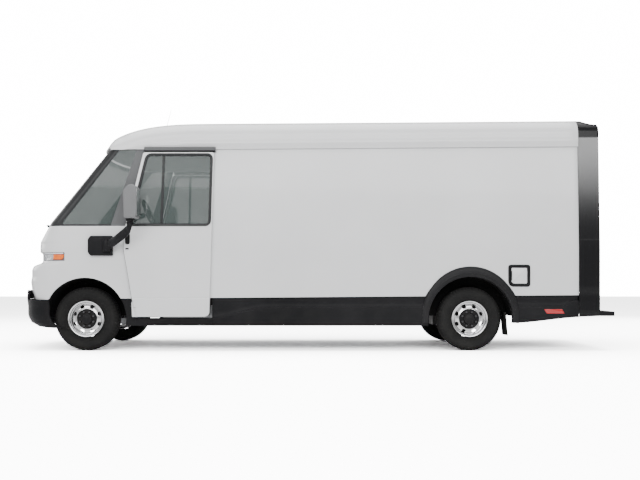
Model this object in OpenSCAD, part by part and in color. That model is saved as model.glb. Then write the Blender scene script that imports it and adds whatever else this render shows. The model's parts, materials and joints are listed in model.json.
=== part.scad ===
// Electric step-van mail delivery truck, in millimetres.
// Front of the truck is -X, its right side is +Y, and +Z is up.
// The origin is on the ground, under the middle of the bounding box.

/* [Overall] */
// Front axle centre to the tip of the bumper
front_overhang = 950; // [920:5:1150]
// Front axle centre to rear axle centre
wheelbase = 4660; // [3880:10:5600]
// Rear axle centre to the end of the rear step
rear_overhang = 1770; // [1740:10:2200]
// Width over the side panels
body_width = 2130; // [1960:5:2560]
// Height of the roof edge over the cab doors
roof_height = 2765; // [2720:5:3200]
// Height of the cargo and cab floor
floor_height = 760; // [740:5:800]

/* [Wheels] */
// Tyre outside diameter
tyre_d = 774; // [700:2:800]
// Tyre width
tyre_w = 245; // [200:5:255]
// Rim flange diameter
rim_d = 437; // [420:1:470]
// Gap from the tyre's outer face in to the body side
tyre_inset = 45; // [30:5:70]
// Radius of the front wheel arch
front_arch_r = 500; // [480:5:520]
// Radius of the rear wheel arch
rear_arch_r = 512; // [490:5:530]
// Width of the black flare round the rear arch
flare_w = 120; // [80:5:140]
// Wheel spindle radius
spindle_r = 30; // [22:1:36]
// Kingpin radius
kingpin_r = 16; // [12:1:20]

/* [Body shells] */
// Thickness of the cargo side and roof panels
panel_t = 30; // [20:1:40]
// Thickness of the nose and fender mouldings
moulding_t = 20; // [12:1:30]
// Thickness of the windows
glass_t = 8; // [5:1:12]
// Height where the sides start to lean in
belt_z = 1250; // [1200:10:1400]
// Inward lean of the side per metre of height, in millimetres
lean_per_m = 46; // [0:1:60]
// Rise of the body lines towards the rear, in millimetres per metre
rake_per_m = 7.5; // [0:0.5:10]
// Radius where the roof meets the side
roof_corner_r = 170; // [120:5:200]
// How far the middle of the nose stands ahead of its corners
nose_bow = 287; // [200:1:320]
// How far the middle of the windscreen stands ahead of its corners
screen_bow = 230; // [150:1:260]

/* [Cab doors] */
// Thickness of a sliding cab door
door_t = 37; // [30:1:45]
// Running gap between the door and the body side
door_gap = 5; // [4:1:10]
// Bottom edge of the door
door_bottom_z = 417; // [400:1:440]
// Top edge of the door
door_top_z = 2404; // [2380:1:2420]

/* [Rear end] */
// Length of the rear portal, front to back
portal_l = 250; // [200:5:300]
// Wall thickness of the rear portal
portal_wall = 40; // [30:1:60]
// Length of the rear step
step_l = 210; // [150:5:260]
// Width of the rear door opening
rear_opening_w = 1640; // [1400:10:1680]
// Top of the rear door opening
rear_opening_z = 2440; // [2300:5:2450]
// Thickness of a rear door
rear_door_t = 45; // [35:1:50]
// Hinge pin radius
hinge_pin_r = 9; // [6:0.5:12]

/* [Fits] */
// Radial clearance of a pin or shaft that turns
run_gap = 0.05; // [0.02:0.01:0.1]
// Gap round a moving panel
panel_gap = 6; // [4:0.5:10]

/* [Hidden] */
$fn = 64;
half_w = body_width / 2;
x_front = -(front_overhang + wheelbase + rear_overhang) / 2;
x_rear = -x_front;
x_fa = x_front + front_overhang;
x_ra = x_fa + wheelbase;
x_back = x_rear - step_l;
x_cap = x_back - portal_l;
wheel_z = tyre_d / 2;
wheel_y = half_w - tyre_inset - tyre_w / 2;

// Lines that run the length of the body, raised by the rake
rake = rake_per_m / 1000;
x_level = x_fa + 1500;
function rise(x) = rake * (x - x_level);
function clad_z(x) = 643 + rise(x);
edge_z = 2445;
function roof_edge_z(x) = edge_z + max(0, rise(x));

// Side of the body: upright up to the belt, then leaning in
lean = lean_per_m / 1000;
function side_y(z) = half_w - max(0, z - belt_z) * lean;

// Middle line of the nose and windscreen: x at the centre, from bottom to top
nose_rows = [
  [622, 360], [737, 325], [837, 311], [900, 323], [986, 323], [1036, 347],
  [1075, 452], [1092, 459], [1196, 459], [1202, 428], [1284, 428], [1334, 435],
  [1434, 497], [1512, 550]
];
nose_reach = 1210;
screen_rows = [[1512, 550], [1558, 579], [1780, 755], [2000, 930], [2220, 1105], [edge_z, 1284]];
cab_rows = concat(nose_rows, [for (i = [1:len(screen_rows) - 1]) screen_rows[i]]);
function nose_x(z) = x_fa - nose_reach + lookup(z, cab_rows);
function blend(z, lo, hi, a, b) = a + (b - a) * min(1, max(0, (z - lo) / (hi - lo)));
function bow(z) = blend(z, 1300, 1558, nose_bow, screen_bow);
function corner_y(z) = blend(z, 1300, 1558, 190, 95);
function corner_x(z) = blend(z, 1300, 1558, 230, 100);

// Edges of the door and of the quarter window, as x from the front axle
door_front = [
  [door_bottom_z, 631], [571, 588], [956, 524], [1212, 480], [1300, 482],
  [1485, 491], [2136, 642], [door_top_z, 707], [edge_z, 718]
];
door_rear = [[door_bottom_z, 1507], [door_top_z, 1560]];
function door_front_x(z) = x_fa + lookup(z, door_front);
function door_rear_x(z) = x_fa + lookup(z, door_rear);
glass_rear = [[1512, 348], [edge_z, 632]];
function glass_rear_x(z) = x_fa + lookup(z, glass_rear);

// The cab is wrapped round its front: column 0 is the centre line and
// column 14 is the edge at the cab door. The sign of the column is the side.
c_flat = 6;
c_turn = 10;
c_glass = 12;
c_door = 14;
function bezier(a, b, c, t) = (1 - t) * (1 - t) * a + 2 * t * (1 - t) * b + t * t * c;
function front_x(z, y, w) = nose_x(z) + bow(z) * (y / w) * (y / w);
function wrap_at(z, k, inset) =
  let(
    w = side_y(z),
    yc = w - corner_y(z),
    x0 = front_x(z, yc, w),
    x1 = x0 + 2 * bow(z) * yc / w / w * (w - yc),
    x2 = x1 + corner_x(z),
    t = (k - c_flat) / (c_turn - c_flat)
  )
  k <= c_flat ? [front_x(z, yc * k / c_flat, w) + inset, yc * k / c_flat * (1 - inset / w)]
  : k <= c_turn ? [bezier(x0, x1, x2, t) + inset * (1 - t), bezier(yc, w, w, t) - inset * min(1, t * 1.2)]
  : k <= c_glass
    ? [x2 + (glass_rear_x(max(z, 1512)) - x2) * (k - c_turn) / (c_glass - c_turn), w - inset]
    : [glass_rear_x(max(z, 1512)) + (door_front_x(z) - 8 - glass_rear_x(max(z, 1512)))
       * (k - c_glass) / (c_door - c_glass), w - inset];
function wrap(z, k, inset) =
  let(p = wrap_at(z, abs(k), inset))
  [p[0], (k < 0 ? -1 : 1) * p[1], z];

// A thick sheet between two grids of points, outer and inner
module sheet(outer, inner) {
  n = len(outer);
  m = len(outer[0]);
  a = function(i, j) i * m + j;
  b = function(i, j) n * m + i * m + j;
  skin = [for (i = [0:n - 2], j = [0:m - 2])
    each [[a(i, j), a(i, j + 1), a(i + 1, j + 1)], [a(i, j), a(i + 1, j + 1), a(i + 1, j)],
          [b(i, j), b(i + 1, j + 1), b(i, j + 1)], [b(i, j), b(i + 1, j), b(i + 1, j + 1)]]];
  ends = [for (j = [0:m - 2])
    each [[a(0, j), b(0, j + 1), a(0, j + 1)], [a(0, j), b(0, j), b(0, j + 1)],
          [a(n - 1, j), a(n - 1, j + 1), b(n - 1, j + 1)],
          [a(n - 1, j), b(n - 1, j + 1), b(n - 1, j)]]];
  sides = [for (i = [0:n - 2])
    each [[a(i, 0), a(i + 1, 0), b(i + 1, 0)], [a(i, 0), b(i + 1, 0), b(i, 0)],
          [a(i, m - 1), b(i + 1, m - 1), a(i + 1, m - 1)],
          [a(i, m - 1), b(i, m - 1), b(i + 1, m - 1)]]];
  points = concat([for (row = outer) each row], [for (row = inner) each row]);
  polyhedron(points, concat(skin, ends, sides), convexity = 8);
}

// Part of the wrapped cab between two columns and over a list of heights
module cab_sheet(heights, k0, k1, thick, proud = 0) {
  sheet([for (z = heights) [for (k = [k0:k1]) wrap(z, k, -proud)]],
        [for (z = heights) [for (k = [k0:k1]) wrap(z, k, thick)]]);
}

// An outline in X and Z, carried from y0 to y1
module xz(points, y0, y1) {
  translate([0, y1, 0]) rotate([90, 0, 0]) linear_extrude(y1 - y0) polygon(points);
}

// An outline in Y and Z, carried from x0 to x1
module yz(points, x0, x1) {
  translate([x0, 0, 0]) rotate([90, 0, 90]) linear_extrude(x1 - x0) polygon(points);
}

module box(low, high) {
  translate(low) cube(high - low);
}

module rod_y(x, y0, y1, z, r) {
  translate([x, y0, z]) rotate([-90, 0, 0]) cylinder(y1 - y0, r, r);
}

module both() {
  children();
  mirror([0, 1, 0]) children();
}

// Puts a right-hand piece on the side that s gives: 1 right, -1 left
module side(s) {
  mirror([0, s < 0 ? 1 : 0, 0]) children();
}

// A panel that follows the right side of the body, from inner to outer offset
module side_skin(points, inner, outer) {
  zs = [0, belt_z, 3200];
  intersection() {
    yz(concat([for (z = zs) [side_y(z) + outer, z]],
              [for (i = [2:-1:0]) [side_y(zs[i]) + inner, zs[i]]]), x_front, x_rear);
    xz(points, half_w / 2, half_w * 2);
  }
}

function arc(cx, cz, r, a0, a1, n) =
  [for (i = [0:n]) [cx + r * cos(a0 + (a1 - a0) * i / n), cz + r * sin(a0 + (a1 - a0) * i / n)]];

function rounded(x0, z0, x1, z1, r) = concat(
  arc(x1 - r, z1 - r, r, 0, 90, 6), arc(x0 + r, z1 - r, r, 90, 180, 6),
  arc(x0 + r, z0 + r, r, 180, 270, 6), arc(x1 - r, z0 + r, r, 270, 360, 6));

// ---- Roof ----
crown = 15;
screen_top_x = nose_x(edge_z);
cap_l = x_level - screen_top_x + 30;
function roof_drop(u) = 220 * pow(u, 3) + 76 * pow(u, 20);
function roof_z(x) = roof_height + crown + rise(x) - roof_drop(max(0, min(1, (x_level + 30 - x) / cap_l)));
function roof_row(x, inset) =
  let(
    w = side_y(edge_z),
    foot = roof_edge_z(x),
    top = max(roof_z(x) - inset, foot + crown + 9),
    r = max(6, min(roof_corner_r, top - crown - foot - 2)) - min(inset, 4) * 0.5,
    fade = pow(max(0, min(1, (x_level - x) / (x_level - screen_top_x))), 2),
    shift = function(y) screen_bow * (y / w) * (y / w) * fade,
    half = [
      for (i = [0:4]) let(y = (w - inset - r) * i / 4)
        [x + shift(y) + inset * fade, y, top - crown * (y / w) * (y / w)],
      for (i = [1:4]) let(y = w - inset - r + r * sin(i * 22.5))
        [x + shift(y) + inset * fade, y, top - crown - r + r * cos(i * 22.5)],
      [x + shift(w) + inset * fade, w - inset, foot]
    ]
  )
  concat([for (i = [len(half) - 1:-1:1]) [half[i][0], -half[i][1], half[i][2]]], half);
roof_stations = concat([for (u = [1, 0.97, 0.9, 0.8, 0.65, 0.5, 0.25]) x_level + 30 - u * cap_l],
                       [x_level + 30, x_cap]);

module roof_panel() {
  color("whitesmoke") difference() {
    sheet([for (x = roof_stations) roof_row(x, 0)], [for (x = roof_stations) roof_row(x, panel_t)]);
    translate([antenna_x, 0, 2400]) cylinder(600, antenna_r, antenna_r);
  }
}

// ---- Cab shells ----
lamp_z0 = 1095;
lamp_z1 = 1193;
lamp_inner_y = 560;
turn_x0 = x_fa - 439;
turn_x1 = x_fa - 307;
nose_split_y = 520;
nose_heights = [for (row = nose_rows) row[0]];
screen_heights = [for (row = screen_rows) min(row[0], edge_z - 1)];

module lamp_cut() {
  both() box([x_front, lamp_inner_y, lamp_z0 - 3], [turn_x1 + 3, half_w + 50, lamp_z1 + 3]);
}

module front_arch_cut(r) {
  rod_y(x_fa, -half_w - 100, half_w + 100, wheel_z, r, $fn = 180);
}

module nose_panel() {
  color("whitesmoke") intersection() {
    difference() {
      cab_sheet(nose_heights, -c_flat, c_flat, moulding_t);
      lamp_cut();
    }
    box([x_front, -nose_split_y, 0], [x_fa, nose_split_y, 1600]);
  }
}

module front_fenders() {
  color("whitesmoke") difference() {
    cab_sheet(nose_heights, -c_door, c_door, moulding_t);
    lamp_cut();
    front_arch_cut(front_arch_r);
    box([x_front, -nose_split_y - 1, 0], [x_fa, nose_split_y + 1, 1600]);
    box([x_fa, -half_w - 50, 600], [x_fa + 700, half_w + 50, clad_z(x_fa)]);
  }
}

module cab_pillars() {
  color("dimgray") {
    both() {
      cab_sheet(screen_heights, c_flat, c_turn, moulding_t);
      cab_sheet(screen_heights, c_glass, c_door, moulding_t);
      side_skin([[door_front_x(2380), 2372], [door_rear_x(2380) - 36, 2372],
                 [door_rear_x(2380) - 36, roof_edge_z(door_rear_x(2380)) - 1],
                 [door_front_x(2380), roof_edge_z(door_front_x(2380)) - 1]], -panel_t, -1);
    }
  }
}

module cab_glass() {
  color("lightseagreen", 0.5) {
    cab_sheet(screen_heights, -c_flat, c_flat, glass_t);
    both() cab_sheet(screen_heights, c_turn, c_glass, glass_t);
  }
}

module front_lamps() {
  color("orange") both() intersection() {
    cab_sheet([lamp_z0, lamp_z1], 3, c_glass, 75, 3);
    union() {
      box([x_front, lamp_inner_y + 3, lamp_z0], [turn_x0 - 18, half_w + 50, lamp_z1]);
      box([turn_x0, lamp_inner_y + 3, 1112], [turn_x1, half_w + 50, 1168]);
    }
  }
}

bumper_rows = [[277, 230], [289, 143], [339, 56], [389, 26], [438, 13], [538, 13], [618, 2]];
bumper_lip_rows = [[618.5, 2], [662, 0], [737, 7]];
function bumper_pt(row, k, inset) =
  let(p = wrap_at(837, abs(k), 0), dx = x_front + row[1] - nose_x(837),
      s = (half_w - 4 - inset) / half_w)
  [p[0] + dx + inset, (k < 0 ? -1 : 1) * p[1] * s, row[0]];
module bumper_sheet(rows, k0, k1, thick) {
  sheet([for (row = rows) [for (k = [k0:k1]) bumper_pt(row, k, 0)]],
        [for (row = rows) [for (k = [k0:k1]) bumper_pt(row, k, thick)]]);
}

module front_bumper() {
  color("black") {
    difference() {
      bumper_sheet(bumper_rows, -c_turn, c_turn, 28);
      front_arch_cut(front_arch_r);
    }
    bumper_sheet(bumper_lip_rows, -c_flat, c_flat, 28);
  }
}

// ---- Chassis ----
rail_y = 395;
rail_w = 70;
rail_z0 = 540;
rail_z1 = floor_height - 40;
rail_t = 7;
crossmember_x = [x_front + 330, x_fa + 700, x_ra - 700, x_ra + 700, x_cap + 60];

module ladder_frame() {
  c_section = [
    [rail_y, rail_z0], [rail_y + rail_w, rail_z0], [rail_y + rail_w, rail_z1], [rail_y, rail_z1],
    [rail_y, rail_z1 - rail_t], [rail_y + rail_w - rail_t, rail_z1 - rail_t],
    [rail_y + rail_w - rail_t, rail_z0 + rail_t], [rail_y, rail_z0 + rail_t]
  ];
  color("dimgray") {
    both() yz(c_section, x_front + 240, x_cap + 150);
    for (x = crossmember_x)
      difference() {
        box([x, -rail_y - rail_w + rail_t, rail_z0 + 30], [x + 80, rail_y + rail_w - rail_t, rail_z1 - 30]);
        box([x + 8, -rail_y - 100, rail_z0 + 38], [x + 72, rail_y + 100, rail_z1 - 38]);
      }
    // Hangers for the leaf springs
    both() for (x = [x_fa - spring_half, x_fa + spring_half, x_ra - spring_half, x_ra + spring_half])
      difference() {
        box([x - 30, rail_y + 2, spring_eye_z - 30], [x + 30, rail_y + rail_w - 2, rail_z0]);
        box([x - 31, rail_y + 6, spring_eye_z - 31], [x + 31, rail_y + rail_w - 6, spring_eye_z + 32]);
      }
  }
}

module battery_pack() {
  x0 = crossmember_x[1] + 120;
  x1 = crossmember_x[2] - 40;
  n = 4;
  color("silver") {
    box([x0, -rail_y + 10, 330], [x1, rail_y - 10, rail_z1 - 20]);
    for (i = [0:n])
      both() box([x0 + (x1 - x0 - 60) * i / n, rail_y - 10, 400], [x0 + (x1 - x0 - 60) * i / n + 60,
        rail_y + 40, 412]);
  }
}

cab_floor_x1 = door_rear_x(door_top_z) + 10;
liner_in_y = 540;
well_y = 650;
well_z = 440;

module cab_floor() {
  x0 = x_fa - 520;
  x_well0 = door_front_x(571) + 60;
  x_well1 = door_rear_x(door_bottom_z) - 40;
  color("darkgray") {
    box([x0, -liner_in_y + 22, rail_z1], [x_fa + front_arch_r + 30, liner_in_y - 22, floor_height]);
    difference() {
      box([x_fa + front_arch_r + 30, -half_w + 70, rail_z1], [cab_floor_x1, half_w - 70, floor_height]);
      both() box([x_well0, well_y, rail_z1 - 1], [x_well1, half_w, floor_height + 1]);
    }
    both() difference() {
      box([x_well0, well_y, well_z - 12], [x_well1, half_w - 64, rail_z1]);
      box([x_well0 + 12, well_y + 12, well_z], [x_well1 - 12, half_w, rail_z1 + 1]);
    }
    pedal_bracket(brake);
    pedal_bracket(throttle);
  }
}

box_in_y = 700;
floor_y = half_w - portal_wall - 2;
module cargo_floor() {
  color("darkgray") difference() {
    box([cab_floor_x1, -floor_y, rail_z1], [x_back - rear_door_t - 8, floor_y, floor_height]);
    both() rod_y(x_ra, box_in_y - 18, half_w, wheel_z, rear_arch_r + 22);
    both() rod_y(x_ra, half_w - clad_in - 2, half_w, wheel_z, rear_arch_r + flare_w + 4);
  }
}

// ---- Cargo body ----
door_lap = 30;
charge_x = x_ra + 588;
charge_z = 911;
charge_size = 190;
bezel_w = 38;
port_pin_r = 3;
port_pin_y = half_w + 17.4;

module side_panel(s) {
  x0 = door_rear_x(door_bottom_z) - door_lap;
  x1 = door_rear_x(door_top_z) - door_lap;
  color("whitesmoke") side(s) difference() {
    side_skin([[x0, clad_z(x0)], [x_cap, clad_z(x_cap)], [x_cap, roof_edge_z(x_cap)],
               [x1, roof_edge_z(x1)]], -panel_t, 0);
    rod_y(x_ra, half_w / 2, half_w + 50, wheel_z, rear_arch_r + flare_w - flare_lap);
    if (s < 0)
      translate([charge_x, half_w + 50, charge_z]) rotate([90, 0, 0]) linear_extrude(200)
        polygon(rounded(-charge_size / 2 - 20, -charge_size / 2 - 20, charge_size / 2 + 20,
          charge_size / 2 + 20, 40));
  }
}

module side_panel_left() { side_panel(-1); }
module side_panel_right() { side_panel(1); }

door_way_y = 380;
door_way_z = 2300;
module bulkhead() {
  x0 = cab_floor_x1;
  color("lightgray") difference() {
    yz([for (p = [[1, floor_height], [1, belt_z], [1, edge_z - 6]]) [side_y(p[1]) - panel_t - 1, p[1]],
        for (p = [[1, edge_z - 6], [1, belt_z], [1, floor_height]]) [-side_y(p[1]) + panel_t + 1, p[1]]],
       x0, x0 + 30);
    box([x0 - 1, -door_way_y, floor_height - 1], [x0 + 31, door_way_y, door_way_z]);
  }
}

module bulkhead_door() {
  x0 = cab_floor_x1 - panel_gap - 28;
  z0 = floor_height + 12;
  color("lightgray") difference() {
    box([x0, -door_way_y - 30, z0], [x0 + 28, door_way_y + 30, door_way_z + 30]);
    box([x0 - 1, -door_way_y + 90, 1450], [x0 + 29, door_way_y - 90, 2050]);
    box([x0 - 1, door_way_y - 10, 1340], [x0 + 12, door_way_y + 16, 1440]);
  }
}

sill_z = 306;
ledge_z = 530;
recess = 25;
function swoosh(x, xa, xb, za, zb) = let(t = min(1, max(0,
  (x - xa) / (xb - xa)))) za + (zb - za) * t * t * (3 - 2 * t);
clad_in = 60;
// How far the flare stands proud of the side, and laps over it
flare_t = 25;
flare_lap = 20;

module claddings() {
  xd = door_rear_x(door_bottom_z);
  xs0 = xd + 15;
  xs1 = xd + 690;
  x_end = x_back - 2;
  xe0 = x_back - 436;
  xe1 = x_back - 300;
  ledge_front = [for (i = [0:8]) let(x = xs0 + (xs1 - xs0) * i / 8) [x, swoosh(x, xs0, xs1, 408, ledge_z)]];
  ledge_rear = [for (i = [0:4]) let(x = xe0 + (xe1 - xe0) * i / 4) [x, swoosh(x, xe0, xe1, ledge_z,
    clad_z(x) - 2)]];
  color("black") both() {
    difference() {
      union() {
        // Sill from the front arch to the rear arch, with its rising ledge
        side_skin(concat([[x_fa + 300, sill_z], [x_ra - 300, sill_z], [x_ra - 300, ledge_z]],
                         [for (i = [8:-1:0]) ledge_front[i]],
                         [[door_front_x(door_bottom_z) - 8, 408], [door_front_x(571) - 8, 571],
                          [door_front_x(640) - 8, clad_z(x_fa)], [x_fa + 300, clad_z(x_fa)]]), -clad_in, 0);
        // Recessed band between the ledge and the side panel
        side_skin([[xd, 380], [x_ra - 300, 380], [x_ra - 300, clad_z(x_ra - 300) - 1],
                   [xd + 2, clad_z(xd) - 1]], -clad_in, -recess);
        // Behind the rear arch
        side_skin(concat([[x_ra + 300, 335], [x_back - 100, 414], [x_cap - 1, 414], [x_cap - 1,
          clad_z(x_cap) - 2]],
                         [for (i = [4:-1:0]) if (ledge_rear[i][0] < x_cap - 2) ledge_rear[i]],
                         [[x_ra + 300, ledge_z]]), -clad_in, 0);
        side_skin([[x_ra + 300, 400], [x_cap - 1, 420], [x_cap - 1, clad_z(x_cap) - 1],
                   [x_ra + 300, clad_z(x_ra) - 1]], -clad_in, -recess);
        // Flare round the rear arch
        intersection() {
          union() {
            rod_y(x_ra, half_w - clad_in, half_w + flare_t, wheel_z, rear_arch_r + flare_w - flare_lap - 2);
            rod_y(x_ra, half_w + 0.3, half_w + flare_t, wheel_z, rear_arch_r + flare_w);
          }
          box([x_ra - 1000, 0, 335], [x_ra + 1000, half_w + 100, 1400]);
        }
      }
      rod_y(x_ra, half_w - 200, half_w + 100, wheel_z, rear_arch_r);
      rod_y(x_fa, half_w - 200, half_w + 100, wheel_z, front_arch_r);
    }
    arch_liner(x_fa, front_arch_r, liner_in_y, half_w - clad_in - 1);
    arch_liner(x_ra, rear_arch_r, box_in_y, half_w - clad_in - 1);
    // Mud flap behind the rear wheel
    box([x_ra + rear_arch_r - 90, wheel_y - tyre_w / 2, 185], [x_ra + rear_arch_r - 78,
      wheel_y + tyre_w / 2, 470]);
    box([x_ra + rear_arch_r - 78, wheel_y - tyre_w / 2, 458], [x_ra + rear_arch_r + 2,
      wheel_y + tyre_w / 2, 470]);
  }
}

axle_way = 130;
module arch_liner(x, r, y0, y1) {
  intersection() {
    difference() {
      rod_y(x, y0 - 15, y1, wheel_z, r + 18);
      rod_y(x, y0, y1 + 1, wheel_z, r + 4);
      // Way through for the axle, over its whole travel
      box([x - axle_way, y0 - 20, 0], [x + axle_way, y0 + 1, wheel_z + axle_way + 80]);
    }
    box([x - 800, 0, 420], [x + 800, half_w, 1400]);
  }
}

// ---- Rear end ----
hinge_x = x_back + 22;
hinge_y = rear_opening_w / 2 + 25;
hinge_z = [900, 1600, 2300];
plate_dy = 177.8;
plate_dz = 120.65;
plate_z = 580;
plate_hole_r = 3.3;
portal_top = roof_height + crown + rise(x_cap);
rear_sill_z = floor_height - 60;

module rear_frame() {
  w = side_y(portal_top - roof_corner_r);
  section = function(o, foot) let(
    r = roof_corner_r - o,
    half = concat([[half_w - o, foot], [half_w - o, belt_z]],
      [for (i = [0:6]) [w - roof_corner_r + r * cos(i * 15), portal_top - roof_corner_r + r * sin(i * 15)]])
  ) concat(half, [for (i = [len(half) - 1:-1:0]) [-half[i][0], half[i][1]]]);
  side_cut = [[x_cap, 414], [x_back, 425], [x_back, 2583], [x_back - 8, portal_top - 66], [x_cap,
    portal_top + 5]];
  color("dimgray") difference() {
    intersection() {
      yz(section(0, 400), x_cap, x_back);
      xz(side_cut, -half_w - 10, half_w + 10);
    }
    yz(section(portal_wall, 390), x_cap - 1, x_back - rear_door_t);
    box([x_back - 60, -rear_opening_w / 2, rear_sill_z], [x_back + 1, rear_opening_w / 2, rear_opening_z]);
    for (y = [-plate_dy / 2, plate_dy / 2], z = [-plate_dz / 2, plate_dz / 2])
      translate([x_back - 30, y, plate_z + z]) rotate([0, 90, 0]) cylinder(40, plate_hole_r, plate_hole_r);
  }
  color("silver") both() for (z = hinge_z) {
    // Fixed pin and lower knuckle of each rear door hinge
    translate([hinge_x, hinge_y, z - 50]) cylinder(100, hinge_pin_r, hinge_pin_r);
    difference() {
      union() {
        translate([hinge_x, hinge_y, z - 50]) cylinder(48, hinge_pin_r + 7, hinge_pin_r + 7);
        box([x_back + 0.2, hinge_y, z - 50], [x_back + 8, hinge_y + 70, z - 2]);
        box([x_back + 0.2, hinge_y, z - 50], [hinge_x, hinge_y + 14, z - 2]);
      }
      translate([hinge_x, hinge_y, z - 51]) cylinder(102, hinge_pin_r, hinge_pin_r);
    }
  }
}

handle_y = 90;
handle_z = 1180;
module rear_door(s) {
  x0 = x_back - rear_door_t;
  y0 = panel_gap / 2;
  y1 = rear_opening_w / 2 - panel_gap;
  color("dimgray") side(s) {
    difference() {
      box([x0, y0, rear_sill_z + panel_gap], [x_back, y1, rear_opening_z - panel_gap]);
      box([x0 - 1, 200, 1600], [x_back + 1, y1 - 160, 2200]);
      if (s > 0)
        translate([x0 - 1, handle_y, handle_z]) rotate([0, 90, 0]) cylinder(rear_door_t + 2,
          14 + run_gap, 14 + run_gap);
    }
    // Window pane of the rear door
    box([x0 + 18, 200, 1600], [x0 + 26, y1 - 160, 2200]);
    for (z = hinge_z)
      difference() {
        union() {
          translate([hinge_x, hinge_y, z + 2]) cylinder(48, hinge_pin_r + 7, hinge_pin_r + 7);
          box([x_back + 0.2, y1 - 110, z + 2], [x_back + 8, hinge_y, z + 50]);
          box([x_back + 0.2, hinge_y - 14, z + 2], [hinge_x, hinge_y, z + 50]);
        }
        translate([hinge_x, hinge_y, z]) cylinder(60, hinge_pin_r + run_gap, hinge_pin_r + run_gap);
      }
  }
}
module rear_door_left() { rear_door(-1); }
module rear_door_right() { rear_door(1); }

module rear_handle() {
  color("silver") {
    translate([x_back - rear_door_t + 5, handle_y, handle_z]) rotate([0, 90, 0])
      cylinder(rear_door_t + 15, 14, 14);
    translate([x_back + 6, handle_y, handle_z]) rotate([0, 90, 0]) cylinder(14, 24, 24);
    box([x_back + 20, handle_y - 13, handle_z - 13], [x_back + 34, handle_y + 160, handle_z + 13]);
  }
}

lamp_y = (rear_opening_w / 2 + half_w) / 2 + 22;
module tail_lamps() {
  color("red") {
    both() for (z = [760, 980, 1200])
      translate([x_back + 0.2, lamp_y, z]) rotate([0, 90, 0]) cylinder(22, 60, 55);
    both() side_skin([[x_back - 423, 453], [x_back - 450, 486], [x_back - 461, 508],
                      [x_back - 674 + 1, 508], [x_back - 655, 470], [x_back - 640, 453]], 0.2, 5);
  }
}

step_z = 478;
module rear_step() {
  color("black") {
    difference() {
      box([x_back + 0.2, -half_w + 75, 420], [x_rear, half_w - 75, step_z]);
      box([x_back + 30, -half_w + 100, 410], [x_rear - 8, half_w - 100, step_z - 8]);
    }
    for (y = [-600, -200, 200, 600])
      box([x_back + 30, y - 6, 424], [x_rear - 8, y + 6, step_z - 8]);
  }
}

// ---- Charging port ----
module charge_port() {
  s = charge_size / 2;
  port_ring = function(d, c) rounded(-s - d, -s - d, s + d, s + d, c);
  color("black") side(-1) translate([charge_x, 0, charge_z]) {
    difference() {
      union() {
        // Black frame on the body side
        translate([0, half_w + 12, 0]) rotate([90, 0, 0]) linear_extrude(11.8) difference() {
          polygon(port_ring(bezel_w, 48));
          polygon(port_ring(panel_gap / 2, 20));
        }
        // Box behind the door that carries the socket
        difference() {
          translate([0, half_w, 0]) rotate([90, 0, 0]) linear_extrude(140) polygon(port_ring(16, 34));
          translate([0, half_w + 1, 0]) rotate([90, 0, 0])
            linear_extrude(133) polygon(port_ring(panel_gap / 2, 20));
        }
      }
      rod_y(x_ra - charge_x, half_w - 200, half_w + 100, wheel_z - charge_z, rear_arch_r + flare_w + 4);
    }
    difference() {
      translate([0, half_w - 133, 0]) rotate([-90, 0, 0]) cylinder(60, 38, 38);
      translate([0, half_w - 120, 0]) rotate([-90, 0, 0]) cylinder(60, 31, 31);
    }
    for (a = [0:60:300])
      translate([18 * cos(a), half_w - 121, 18 * sin(a)]) rotate([-90, 0, 0]) cylinder(34, 4, 4);
    // Pin of the door's hinge and the knuckles that hold it
    translate([-s - 1, port_pin_y, -58]) cylinder(116, port_pin_r, port_pin_r);
    for (z = [-58, 30]) {
      translate([-s - 1, port_pin_y, z]) cylinder(28, port_pin_r + 2, port_pin_r + 2);
      box([-s - 12, half_w + 11.5, z], [-s - 4, port_pin_y, z + 28]);
    }
  }
}

module charge_door() {
  s = charge_size / 2;
  color("whitesmoke") side(-1) translate([charge_x, 0, charge_z]) {
    translate([0, half_w + 4, 0]) rotate([90, 0, 0]) linear_extrude(7)
      polygon(rounded(-s + 1, -s + 1, s - 1, s - 1, 20));
    difference() {
      union() {
        box([-s - 1, half_w - 3, -29], [-s + 6, port_pin_y, 29]);
        translate([-s - 1, port_pin_y, -29]) cylinder(58, port_pin_r + 2, port_pin_r + 2);
      }
      translate([-s - 1, port_pin_y, -30]) cylinder(60, port_pin_r + run_gap, port_pin_r + run_gap);
    }
  }
}

// ---- Cab doors ----
window_front = [[1526, 553], [1910, 661], [2373, 772]];
window_rear_in = 42;
function window_points() = concat(
  [for (p = window_front) [x_fa + p[1], p[0]]],
  [[door_rear_x(2373) - window_rear_in, 2373], [door_rear_x(1526) - window_rear_in, 1526]]);
handle_x = x_fa + 516;
handle_l = 34;
handle_slot = 24;
door_handle_z = 1357;
handle_h = 132;

module cab_door(s) {
  front = [for (p = door_front) if (p[0] <= door_top_z) [x_fa + p[1], p[0]]];
  color("whitesmoke") side(s) difference() {
    side_skin(concat(front, [[door_rear_x(door_top_z), door_top_z],
                             [door_rear_x(door_bottom_z), door_bottom_z]]), door_gap, door_gap + door_t);
    xz(window_points(), half_w / 2, half_w * 2);
    // Pocket and hinge hole for the handle
    side_skin([[handle_x - 10, door_handle_z - handle_h / 2 - 3], [handle_x + handle_l + handle_slot,
      door_handle_z - handle_h / 2 - 3],
               [handle_x + handle_l + handle_slot, door_handle_z + handle_h / 2 + 3], [handle_x - 10,
                 door_handle_z + handle_h / 2 + 3]],
              door_gap + door_t - 26, door_gap + door_t + 10);
  }
  // Pin the handle turns on
  color("silver") side(s) translate([handle_x, handle_pin_y, door_handle_z - handle_h / 2 - 3])
    cylinder(handle_h + 6, 4, 4);
}
handle_pin_y = side_y(door_handle_z) + door_gap + door_t - 14;
module cab_door_left() { cab_door(-1); }
module cab_door_right() { cab_door(1); }

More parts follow.
